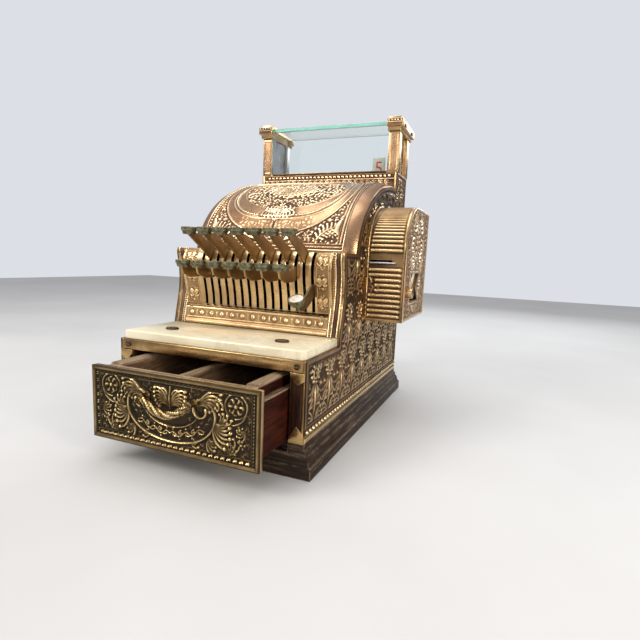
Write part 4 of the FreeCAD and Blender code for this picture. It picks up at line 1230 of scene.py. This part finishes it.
def draw_back(width, low, high):
    """A quieter casting: border, oval wreath and corner scrolls."""
    half = width / 2
    field = Field(-half, half, low, high, 1.2)
    u, v = field.grid()
    mid = (low + high) / 2
    for way, edge in ((1, low + 18), (-1, high - 18)):
        field.wings(((-half + 18, edge), 80 * way, 104, -150 * way, 8, -58 * way, 2.3, 2.6),
                    ((-half + 18, edge + 4 * way), 44 * way, 46, 130 * way, 5, 50 * way, 2.0, 2.4),
                    ((-5, edge), 152 * way, 58, -160 * way, 6, -54 * way, 2.0, 2.4),
                    ((-5, mid - 88 * way), 112 * way, 30, -130 * way, 5, -48 * way, 1.8, 2.3),
                    ((-half + 18, mid - 5 * way), -84 * way, 74, 165 * way, 7, 56 * way, 2.1, 2.5))
        field.flower(-half + 30, edge + 12 * way, 9, petals=7, height=2.6)
        field.flower(-6, mid - 96 * way, 7, petals=6, height=2.5)
    field.flower(-half + 24, mid, 10, petals=8, height=2.7)
    for k in range(14):
        angle = 90 + 180 * (k + 0.5) / 14
        at = (46 * math.cos(math.radians(angle)), mid + 66 * math.sin(math.radians(angle)))
        field.leaf(at, angle + 70, 17, 6, bend=40, lobes=4, height=1.8)
    field.wings(((-2, mid - 40), 104, 76, 110, 8, 44, 2.0, 2.6),
                ((-3, mid - 22), 90, 60, -90, 5, 30, 1.6, 2.4))
    field.leaf((0, mid - 30), 90, 58, 9, lobes=8, height=2.9)
    field.foliage((u < 1) & (u > -half + 12) & (v > low + 12) & (v < high - 12)
                  & (np.hypot(u / 44, (v - mid) / 62) > 1.15), 6.8, 1.7, seed=21, tries=4500, room=0.52)
    field.mirror()
    field.stroke(oval((0, mid), 38, 57), [1.0, 1.0], 1.6)
    apart = field.margin()
    field.clear(apart < 9)
    field.raise_to(np.where(apart < 5, 1.4 * np.clip(np.minimum(apart + 0.5, 5.2 - apart), 0, 1), 0))
    field.ridge(apart - 8.4, 1.3, 1.0)
    return field


def make_back():
    low, high = box_mm("back_panel")
    width = high[0] - low[0]
    relief("back_panel_relief", draw_back(width, low[2], high[2]), flat_place(BACK, high[1]), "side_brass",
           lift=0.05)
    softened("back_panel", "ground_and_painted_shade_brass", bevel=0.5)


# ---------------------------------------------------------------- key bank

# the large beads along the moulding
BEAD_PITCH = 15.4
# where the plain ends of the bank begin beside the slots, and where they end
SCROLL_INNER = {-1: 81.0, 1: 85.0}
SCROLL_OUTER = 100.2


def make_bank_scroll(hand, side):
    """Three leafy medallions, one over the other, at one end of the slots."""
    low, high = box_mm("keybank_front")
    place, length = swept_place(front_profile("keybank_front", hand * 92.0, low[2] + 27.0, high[2] - 1.0))
    inner, outer = SCROLL_INNER[hand], SCROLL_OUTER
    field = Field(inner, outer, 0, length, 0.5)
    u, v = field.grid()
    middle = (inner + outer) / 2
    reach = length / 3
    framed = np.zeros(u.shape, bool)
    for n in range(3):
        eye = (middle, (n + 0.5) * reach)
        framed |= np.hypot((u - eye[0]) / (middle - inner - 0.9), (v - eye[1]) / (0.40 * reach)) < 1
        field.twin_wings(eye[0], (0, eye[1] + 2, 90, 34, 0.34 * reach, 150, 4, 44, 0.8, 1.7),
                         (0, eye[1] - 2, -90, 34, 0.30 * reach, 140, 3, 44, 0.7, 1.5))
        field.flower(*eye, 2.6, petals=6, height=1.8)
    field.foliage(framed, 3.2, 1.6, seed=31, tries=2500, room=0.36)
    field.clear(~framed)
    field.line((inner + 0.9, 0), (inner + 0.9, length), 0.5, 0.9)
    if hand < 0:
        field.change_side()
    relief(f"keybank_scroll_{side}", field, place, "bank_brass", lift=0.1)


def make_bank_pilaster(hand, side):
    """A column of beads between ridges at one corner of the bank."""
    low, high = box_mm("keybank_front")
    place, length = swept_place(front_profile("keybank_front", hand * 108.0, low[2] + 0.3,
                                              high[2] - 0.4, 90))
    field = Field(101.6, 113.8, 0, length, 0.45)
    for u_line in (102.4, 106.2, 113.0):
        field.line((u_line, 0), (u_line, length), 0.65, 1.3)
    field.beads((104.3, 3), (104.3, length - 3), 2.9, 1.15, 1.3)
    if hand < 0:
        field.change_side()
    relief(f"keybank_pilaster_{side}", field, place, "lid_brass", lift=0.1)


def make_bank_front():
    # the side walls of the key slots take the dark brass as painted shade
    def slot_wall(centre, normal):
        return 1 if abs(normal.x) > 0.9 and abs(centre.x) < 90 else 0
    softened("keybank_front", "bright_brass", "ground_and_painted_shade_brass", bevel=0.2, pick=slot_wall)


def make_bank_moulding():
    """A rope at the foot, a flat, and a row of large beads with darts between them."""
    low, high = box_mm("keybank_molding")
    place, length = swept_place(front_profile("keybank_molding", 0.0, low[2] + 0.2, high[2] - 0.2, 80))
    field = Field(low[0] + 0.3, high[0] - 0.3, 0, length, 0.5)
    foot, face = 4.2, 8.0
    span = (low[0] + 9, high[0] - 9)
    field.rope((low[0] + 2, foot / 2), (high[0] - 2, foot / 2), 3.0, 3.4, 0.9, 1.0, slant=40)
    field.beads((span[0], face + 6.8), (span[1], face + 6.8), BEAD_PITCH, 3.3, 3.0)
    for u in np.arange(span[0] + BEAD_PITCH / 2, span[1], BEAD_PITCH):
        field.line((u, face + 3.6), (u, face + 9.8), [0.5, 1.0, 0.5], 1.4)
    field.line((low[0] + 1, face + 0.2), (high[0] - 1, face + 0.2), 0.7, 1.2)
    field.line((low[0] + 1, face + 13.2), (high[0] - 1, face + 13.2), 0.6, 1.0)
    field.smooth[field.v > face + 14.4] = 1.0
    relief("keybank_molding_relief", field, place, "moulding_brass", lift=0.1)
    softened("keybank_molding", "bright_brass", "dark_bronze", bevel=0.5,
             pick=lambda centre, normal: 1 if normal.z > 0.7 else 0)


# ---------------------------------------------------------------- keys

# the cups under the finger discs, and y and z of the tilted one on the release key
CUP_RADIUS = 9.2
RELEASE_CUP = (-143.05, 174.0)
CUP_DEPTH = 7.9


def make_keys():
    """Bronze levers with verdigris cups, each holding a cream finger disc in a ridged rim."""
    for name in sorted(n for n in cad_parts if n.startswith(("key_0", "key_1", "release_key"))):
        low, high = box_mm(name)
        tilt = math.radians(28) if name == "release_key" else 0.0
        normal = Vector((0, -math.sin(tilt), math.cos(tilt)))
        x = (low[0] + high[0]) / 2
        if name == "release_key":
            centre = Vector((x, *RELEASE_CUP)) + 3.8 * normal
        else:
            centre = Vector((x, low[1] + CUP_RADIUS, high[2]))

        def part(at, _, centre=centre, normal=normal):
            above = (at - centre).dot(normal)
            off = (at - centre - above * normal).length
            return 1 if off < CUP_RADIUS + 0.6 and above > -CUP_DEPTH else 0
        softened(name, "dark_bronze" if tilt else "lever_bronze", "verdigris", body=name, slot="key_metal",
                 bevel=0.7 if tilt else 0.3, segments=3, pick=part)
        lathe(name + "_rim",
              [(-3.4, 8.95), (-3.0, 9.3), (-2.2, 9.15), (-1.6, 9.32), (-0.5, 9.32), (0.3, 9.2), (0.7, 8.8),
               (0.55, 8.2), (-0.15, 7.9), (-0.9, 7.8)],
              centre, normal, name, "verdigris", sides=48, ribs=24, depth=0.004)
        lathe(name + "_disc", [(-0.8, 7.85)] + dome_profile(7.8, 0.75, -0.1 if tilt else -0.6), centre,
              normal, name, "celluloid", sides=40)


# ---------------------------------------------------------------- indicator

# the outer side of the columns' panels, and the height above which the glass is the top pane
COLUMN_X = 112.5
TOP_PANE_Z = 429.7


def make_sill():
    """Leaves and dentils below the glass, with a dark band over them as painted shadow; the sill's top and
    recessed faces are painted shade.
    """
    low, high = box_mm("indicator_sill")
    field = Field(-113.6, 113.6, low[2] + 0.4, low[2] + 21.0, 0.6)
    for k in range(31):
        u = -105 + 7 * k
        field.band(u - 2.2, u + 2.2, low[2] + 14.2, low[2] + 18.0, 1.6, slope=0.6)
    field.line((-113, low[2] + 12.0), (113, low[2] + 12.0), 0.8, 1.2)
    for k in range(22):
        field.leaf((-110 + 10 * k, low[2] + 2.0), 58, 9.5, 3.4, bend=60, lobes=4, height=1.1)
    field.line((-113, low[2] + 19.8), (113, low[2] + 19.8), 0.5, 0.8)
    relief("sill_relief", field, flat_place(FRONT, low[1]), "lid_brass", lift=0.08)

    # the sill's top and its faces set back behind the front take the dark brass as painted shade
    def shade(centre, _):
        return 1 if centre.z > low[2] + 21.4 or abs(centre.x) < 100 and centre.y > low[1] + 1 else 0
    softened("indicator_sill", "bright_brass", "ground_and_painted_shade_brass", bevel=0.3, pick=shade)

    # a dark raised band along the top of the sill's front: painted shadow
    shadow_band = Field(-100.2, 100.2, high[2] - 3.9, high[2] - 0.2, 0.5)
    shadow_band.band(-100.2, 100.2, high[2] - 3.9, high[2] - 0.2, 0.9, slope=1.3)
    relief("sill_painted_shadow_band", shadow_band, flat_place(FRONT, low[1]), "ground_and_painted_shade_brass", lift=0.1)


def make_columns():
    """Leafy panels on the outer sides of the columns and plain bordered fronts."""
    low, high = box_mm("indicator_frames")

    def lining(centre, normal):
        return 1 if abs(centre.x) < 104.6 and normal.x * centre.x < -20 else 0
    softened("indicator_frames", "bright_brass", "liner_steel", bevel=0.6, pick=lining)
    for hand, side in SIDES:
        field = Field(low[1] + 12, high[1] - 16, low[2] + 1, high[2] - 1, 0.6)
        middle = (field.u[0] + field.u[-1]) / 2
        foot, top = field.v[0], field.v[-1]
        u, v = field.grid()
        field.leaf((middle, foot + 4), 90, 0.44 * (top - foot), 9, lobes=7, height=1.8)
        field.flower(middle, foot + 0.62 * (top - foot), 6, petals=7, height=2.0)
        for way in (-1, 1):
            field.vine((middle + 2 * way, foot + 3), 90 - 50 * way, 40, 280 * way, width=1.0, leaves=6,
                       size=8, height=1.6, eye=3)
            field.leaf((middle + 3 * way, top - 22), 90 - 40 * way, 20, 6, bend=40 * way, lobes=5,
                       height=1.7)
        field.foliage((u > field.u[0] + 3) & (u < field.u[-1] - 3) & (v > foot + 3) & (v < top - 3), 4, 1.2,
                      seed=41, tries=3000)
        apart = field.margin()
        field.clear(apart < 2.4)
        field.ridge(apart - 1.4, 0.9, 1.2)
        relief(f"column_relief_{side}", field, flat_place((hand, 0, 0), hand * COLUMN_X), "side_brass",
               lift=0.08)
        corner = Field(102.6, 117.0, low[2] + 1.0, high[2] - 1.0, 0.5)
        frame_low, frame_high = low[2] + 4, high[2] - 4
        for x in (104.2, 115.4):
            corner.line((x, frame_low), (x, frame_high), 0.6, 0.8)
        for z in (frame_low, frame_high):
            corner.line((104.2, z), (115.4, z), 0.6, 0.8)
        corner.raise_to(np.full(corner.h.shape, 0.35))
        corner.smooth[:] = 0.8
        if hand < 0:
            corner.change_side(turned=False)
        relief(f"column_front_{side}", corner, flat_place(FRONT, low[1]), "lid_brass", lift=0.05)


def make_caps():
    softened("indicator_caps", "bright_brass", slot="smooth_brass", bevel=0.7)
    low, _ = box_mm("indicator_caps")
    for hand, side in SIDES:
        field = Field(99.6, 122.6, low[2] + 6.6, low[2] + 16.2, 0.4)
        field.beads((102, low[2] + 14), (120.4, low[2] + 14), 4.6, 1.3, 1.1)
        field.line((100, low[2] + 11.4), (122.2, low[2] + 11.4), 0.5, 0.8)
        if hand < 0:
            field.change_side(turned=False)
        relief(f"cap_beads_{side}", field, flat_place(FRONT, low[1]), "lid_brass",
               lift=0.05)


def make_glass():
    """Clear panes with green edges."""
    def pane(centre, normal):
        across = normal.z if centre.z > TOP_PANE_Z else normal.y
        return 1 if abs(across) < 0.5 else 0
    softened("indicator_glass", "clear_glass", "glass_edge", slot="clear_glass", bevel=0.25, segments=1,
             pick=pane)


def numeral(text, size, thickness):
    """A raised enamel number as a small solid mesh in the XZ plane, centred on the origin."""
    curve = bpy.data.curves.new("numeral", "FONT")
    curve.body = text
    curve.size = size * MM
    curve.extrude = 0.5 * thickness * MM
    curve.align_x = "CENTER"
    curve.align_y = "CENTER"
    holder = linked("numeral", curve)
    mesh = bpy.data.meshes.new_from_object(holder.evaluated_get(bpy.context.evaluated_depsgraph_get()))
    bpy.data.objects.remove(holder)
    bpy.data.curves.remove(curve)
    mesh.transform(Matrix.Rotation(math.radians(90), 4, "X"))
    return mesh


# a tablet's white plate: its height, and how far below its top the number's middle is
PLATE_HEIGHT = 34.5
PLATE_MIDDLE = 17


def make_tablets():
    """White plates on steel rods, each with its number; the one that shows in the photograph is red."""
    for k in range(1, 16):
        name = f"tablet_{k:02d}"
        shown = k == 15
        low, high = box_mm(name)

        def metal(centre, _, high=high):
            return 0 if centre.z > high[2] - PLATE_HEIGHT else 1
        softened(name, "tablet_enamel", "liner_steel", body=name, slot="tablet_enamel", bevel=0.3,
                 pick=metal)
        text = "5" if shown else str(k if k < 10 else 10 * (k - 9))
        mesh = numeral(text, 29 if shown else 22 if len(text) == 1 else 17, 0.4)
        plate = (low[1] + high[1]) / 2 - 0.75
        middle = Vector(((low[0] + high[0]) / 2, plate, high[2] - PLATE_MIDDLE))
        mesh.transform(Matrix.Translation(middle * MM))
        settle(linked(name + "_numeral", mesh), name,
               ["red_enamel" if shown else "black_enamel"])


# ---------------------------------------------------------------- printer

# the height of the paper slit, and the radius of the cover's rounded corner
SLIT_Z = 221.0
CROWN = 60.0


def draw_ribs(width, length, slit):
    """Reeds across the cover with a plain band around the paper slit."""
    field = Field(0, width, 0, length, 0.55)
    left, right = 3.0, width - 2.0
    for k in range(10):
        v = 3.6 + 6.6 * k
        start = left + (9.0 if k in (5, 6, 7) else 0.5)
        field.line((start, v), (right, v), 2.7, 2.3)
        field.bump(start + 0.6, v, 2.6, 2.9)
        field.bump(right - 0.8, v, 2.4, 2.7)
    field.plume((left + 4, 35), 80, 20, -260, width=0.9, fingers=5, reach=4.6, height=1.7)
    field.plume((left + 3, 46), 70, 12, 190, width=0.8, fingers=4, reach=3.6, height=1.6)
    field.line((left, slit - 1.8), (right - 9, slit - 1.8), 1.1, 2.3)
    v = slit + 14.0
    k = 0
    while v < length - 4:
        thin = max(0.35, 1 - 0.05 * k)
        field.line((left + 1.5 + 0.4 * k, v), (right, v), [2.5 * thin, 2.5 * thin], 2.0 * thin ** 1.5)
        field.bump(left + 2.0 + 0.4 * k, v, 2.6 * thin, 2.5 * thin ** 1.5)
        v += 6.0 * max(0.5, thin)
        k += 1
    field.line((0.9, 0), (0.9, length), 0.9, 1.6)
    field.smooth[:] = 0.9 * np.clip((field.v - 0.58 * length) / (0.2 * length), 0, 1)[:, None]
    return field


def draw_end_plate(loops, low, high):
    field = Field(low[1], high[1], low[2], high[2], 0.65)
    u, v = field.grid()
    apart, _, _ = nearest_edge(loops, u, v)
    ground = inside_loops(loops, u, v) & (apart > 5)
    mid = (low[1] + high[1]) / 2
    field.twin_wings(mid, (3, low[2] + 70, 90, -22, 54, -150, 7, -56, 1.5, 2.5),
                     (3, high[2] - 16, -90, 28, 40, 130, 5, 50, 1.4, 2.3),
                     (36, low[2] + 66, -90, 20, 34, -130, 5, -40, 1.3, 2.2),
                     (2, low[2] + 9, 90, -76, 46, 140, 5, 44, 1.3, 2.2),
                     (48, low[2] + 84, 90, 4, 40, 110, 5, 40, 1.3, 2.2))
    field.leaf((mid, low[2] + 70), 90, 52, 7, lobes=7, height=2.6)
    field.flower(mid, high[2] - 26, 7, petals=8, height=2.5)
    field.foliage(ground, 4.8, 2.0, seed=51, tries=9000, room=0.42)
    field.clear(~ground)
    field.ridge(apart - 1.9, 1.9, 1.9, 0.6)
    field.ridge(apart - 4.8, 0.8, 0.9)
    return field


def rectangle(left, right, low, high):
    return np.array([(left, low), (right, low), (right, high), (left, high)])


def make_printer():
    """The ribbed cover with its paper slit and cutter bar, and the end plate around its window."""
    low, high = box_mm("printer_cover")
    x = (low[0] + high[0]) / 2
    z_turn = high[2] - CROWN
    front = front_profile("printer_cover", x, low[2] + 0.4, z_turn, 30)
    front = front[front[:, 0] < low[1] + 1.0]
    crown = round_profile("printer_cover", x, (low[1] + CROWN, z_turn), 0.5, 90.0, 60)
    top = np.array([(y, high[2]) for y in np.linspace(low[1] + 62.0, high[1] - 1.0, 20)])
    place, length = swept_place(np.concatenate([front, crown, top]))
    width = high[0] - low[0]
    field = draw_ribs(width, length, SLIT_Z - low[2])
    slit = SLIT_Z - low[2] - 0.4
    field.u = field.u + low[0]
    edge = rectangle(field.u[0] - 1, field.u[-1] + 1, -1, length + 1)
    gap = rectangle(low[0] + 3.0, low[0] + 32.6, slit, slit + 3.0)
    relief("printer_cover_relief", field, place, "ribbed_brass", body="printer_cover",
           loops=[edge, gap], lift=0.1)
    softened("printer_cover", "rail_brass", body="printer_cover", slot="smooth_brass", bevel=0.5)
    bar = [(across, low[1] - 1.3, SLIT_Z - 1.5) for across in np.linspace(low[0] + 0.6, high[0] - 8.0, 24)]
    tube("printer_cutter_bar", bar, np.full(24, 1.2), "printer_cover", "bright_steel", sides=16)

    low, high = box_mm("printer_end_plate")
    loops = face_loops("printer_end_plate", 0, high[0])
    relief("printer_end_relief", draw_end_plate(loops, low, high), flat_place((1, 0, 0), high[0]),
           "plate_brass", loops=loops)
    softened("printer_end_plate", "rail_brass", bevel=0.5)
    softened("printer_case", "rail_brass", slot="smooth_brass", bevel=0.8)
    softened("printer_knob", "bright_brass", body="printer_knob", slot="smooth_brass", bevel=0.5)
    softened("paper_roll", "paper", body="paper_roll", slot="paper", bevel=0.4)


# ---------------------------------------------------------------- plain parts

def make_rosettes():
    """Two dark oval flowers set on the shelf, each trimmed to its own outline."""
    top = box_mm("shelf_rosettes")[1][2]
    for loop in face_loops("shelf_rosettes", 2, top):
        low, high = loop.min(axis=0), loop.max(axis=0)
        middle = (low + high) / 2
        reach = (high - low) / 2
        field = Field(low[0], high[0], low[1], high[1], 0.3)
        for turn in np.arange(12) * math.pi / 6:
            aim = reach * (math.cos(turn), math.sin(turn))
            field.line(middle + 0.30 * aim, middle + 0.74 * aim, [0.5, 1.0, 0.8], 1.0)
        field.stroke(oval(middle, 0.92 * reach[0], 0.92 * reach[1]), [0.6, 0.6], 0.9)
        field.bump(*middle, 1.9, 1.3)
        side = "left" if middle[0] < 0 else "right"
        relief(f"shelf_rosette_{side}", field, flat_place(TOP, top), "rosette_bronze",
               loops=[loop], sink=0.4, lift=0.05)


def make_plain():
    softened("wood_base", "base_walnut", "base_walnut_x", slot="dark_walnut", bevel=0.45, segments=2,
             pick=lambda centre, normal: 1 if abs(normal.y) > 0.5 else 0)
    softened("drawer_posts", "post_mahogany", slot="mahogany", bevel=0.8)
    softened("front_rail", "rail_brass", slot="smooth_brass", bevel=0.8)
    softened("corner_brackets", "bracket_brass", slot="smooth_brass", bevel=0.3)
    softened("marble_shelf", "ivory_marble", slot="ivory_marble", bevel=1.8, segments=4)
    softened("mechanism_deck", "mahogany", slot="mahogany", bevel=0.5)
    softened("cabinet_screws", "screw_metal", "bright_brass", slot="dark_steel", bevel=0.15,
             pick=lambda centre, normal: 1 if 135 < centre.z < 175 and centre.y < -80 else 0)
    softened("shelf_rosettes", "screw_metal", slot="dark_steel", bevel=0.3)
    softened("mechanism_frame", "dark_steel", slot="steel", bevel=0.4)
    softened("cross_shafts", "bright_steel", slot="steel", bevel=0.2)
    softened("counter_wheels", "bright_steel", body="adding_wheels", slot="steel", bevel=0.2)
    softened("lid_hinge_rod", "bright_steel", slot="steel", bevel=0.3)


# ---------------------------------------------------------------- stage

def make_stage():
    mesh = bpy.data.meshes.new("floor")
    mesh.from_pydata([(*corner, 0) for corner in rectangle(-3.0, 3.0, -3.0, 3.0)], [], [(0, 1, 2, 3)])
    floor = linked("floor", mesh)
    look = Finish("floor")
    cloud = look.span(look.noise(3, 3), 0.3, 0.7)
    look.set(Base_Color=look.ramp(cloud, (0.0, (0.50, 0.49, 0.475)), (1.0, (0.55, 0.54, 0.525))),
             Roughness=0.7)
    mesh.materials.append(LOOKS["floor"])


def make_light():
    """A soft key from the left, a broad top light, and a room that metal reflects as light and dark."""
    aim = Vector((0.0, -0.05, 0.2))
    for name, place, size, power, colour in (
            ("key", (-1.0, -1.2, 1.25), (0.7, 0.7), 19, (1.0, 0.965, 0.92)),
            ("top", (-0.1, 0.0, 1.6), (1.2, 1.0), 12, (0.98, 0.985, 1.0)),
            ("side", (1.5, -0.7, 0.55), (0.25, 1.0), 14, (1.0, 0.92, 0.80)),
            ("front", (0.25, -1.9, 0.75), (1.1, 0.25), 6, (1.0, 0.98, 0.95)),
            ("back", (0.3, 1.6, 1.0), (1.4, 0.6), 12, (0.92, 0.96, 1.0))):
        lamp = bpy.data.lights.new(name, "AREA")
        lamp.shape = "RECTANGLE"
        lamp.size, lamp.size_y = size
        lamp.energy = power
        lamp.color = colour
        holder = linked(name, lamp)
        holder.visible_camera = False
        holder.visible_transmission = False
        holder.location = place
        holder.rotation_euler = (aim - Vector(place)).to_track_quat("-Z", "Y").to_euler()
    world = bpy.data.worlds.new("studio")
    world.use_nodes = True
    sky = Nodes(world.node_tree)
    place = sky.node("TexCoord", {}, "Generated")
    height = sky.node("MapRange", {0: sky.node("SeparateXYZ", {0: place}, "Z"), 1: -1.0})
    colour = sky.ramp(height, (0.0, (0.22, 0.20, 0.18)), (0.46, (0.10, 0.085, 0.075)),
                      (0.56, (0.16, 0.15, 0.15)), (0.72, (0.52, 0.53, 0.56)), (1.0, (0.85, 0.88, 0.94)))
    room = sky.tree.nodes["Background"]
    sky.join(colour, room.inputs["Color"])
    wall = sky.node("Background", {"Color": (0.72, 0.74, 0.79, 1.0)})
    rays = sky.node("LightPath", {}).node.outputs
    seen = sky.math("MAXIMUM", rays["Is Camera Ray"], rays["Is Transmission Ray"])
    both = sky.node("MixShader", {"Fac": seen, 1: room.outputs[0], 2: wall})
    sky.join(both, sky.tree.nodes["World Output"].inputs["Surface"])
    bpy.context.scene.world = world


def make_camera():
    """Seen from the right of the front at the height of the keys, a little turned and tilted down."""
    place, yaw, pitch, roll = (0.29307, -0.59838, 0.22026), -0.37830, -0.14914, 0.04255
    forward = Vector((math.sin(yaw) * math.cos(pitch), math.cos(yaw) * math.cos(pitch), math.sin(pitch)))
    right = Vector((math.cos(yaw), -math.sin(yaw), 0))
    up = right.cross(forward)
    tilted_right = math.cos(roll) * right + math.sin(roll) * up
    tilted_up = math.cos(roll) * up - math.sin(roll) * right
    lens = bpy.data.cameras.new("camera")
    lens.sensor_width = 36
    lens.lens = 25.88
    lens.shift_x, lens.shift_y = -0.0038, 0.0142
    camera = linked("camera", lens)
    turned = Matrix((tilted_right, tilted_up, -forward)).transposed().to_4x4()
    camera.matrix_world = Matrix.Translation(place) @ turned
    bpy.context.scene.camera = camera
    bpy.context.scene.view_settings.view_transform = "Standard"


make_materials()
make_camera()
make_stage()
make_light()
make_drawer()
make_lid()
make_sides()
make_back()
for end in SIDES:
    make_bank_scroll(*end)
    make_bank_pilaster(*end)
make_bank_front()
make_bank_moulding()
make_keys()
make_sill()
make_columns()
make_caps()
make_glass()
make_tablets()
make_printer()
make_plain()
make_rosettes()
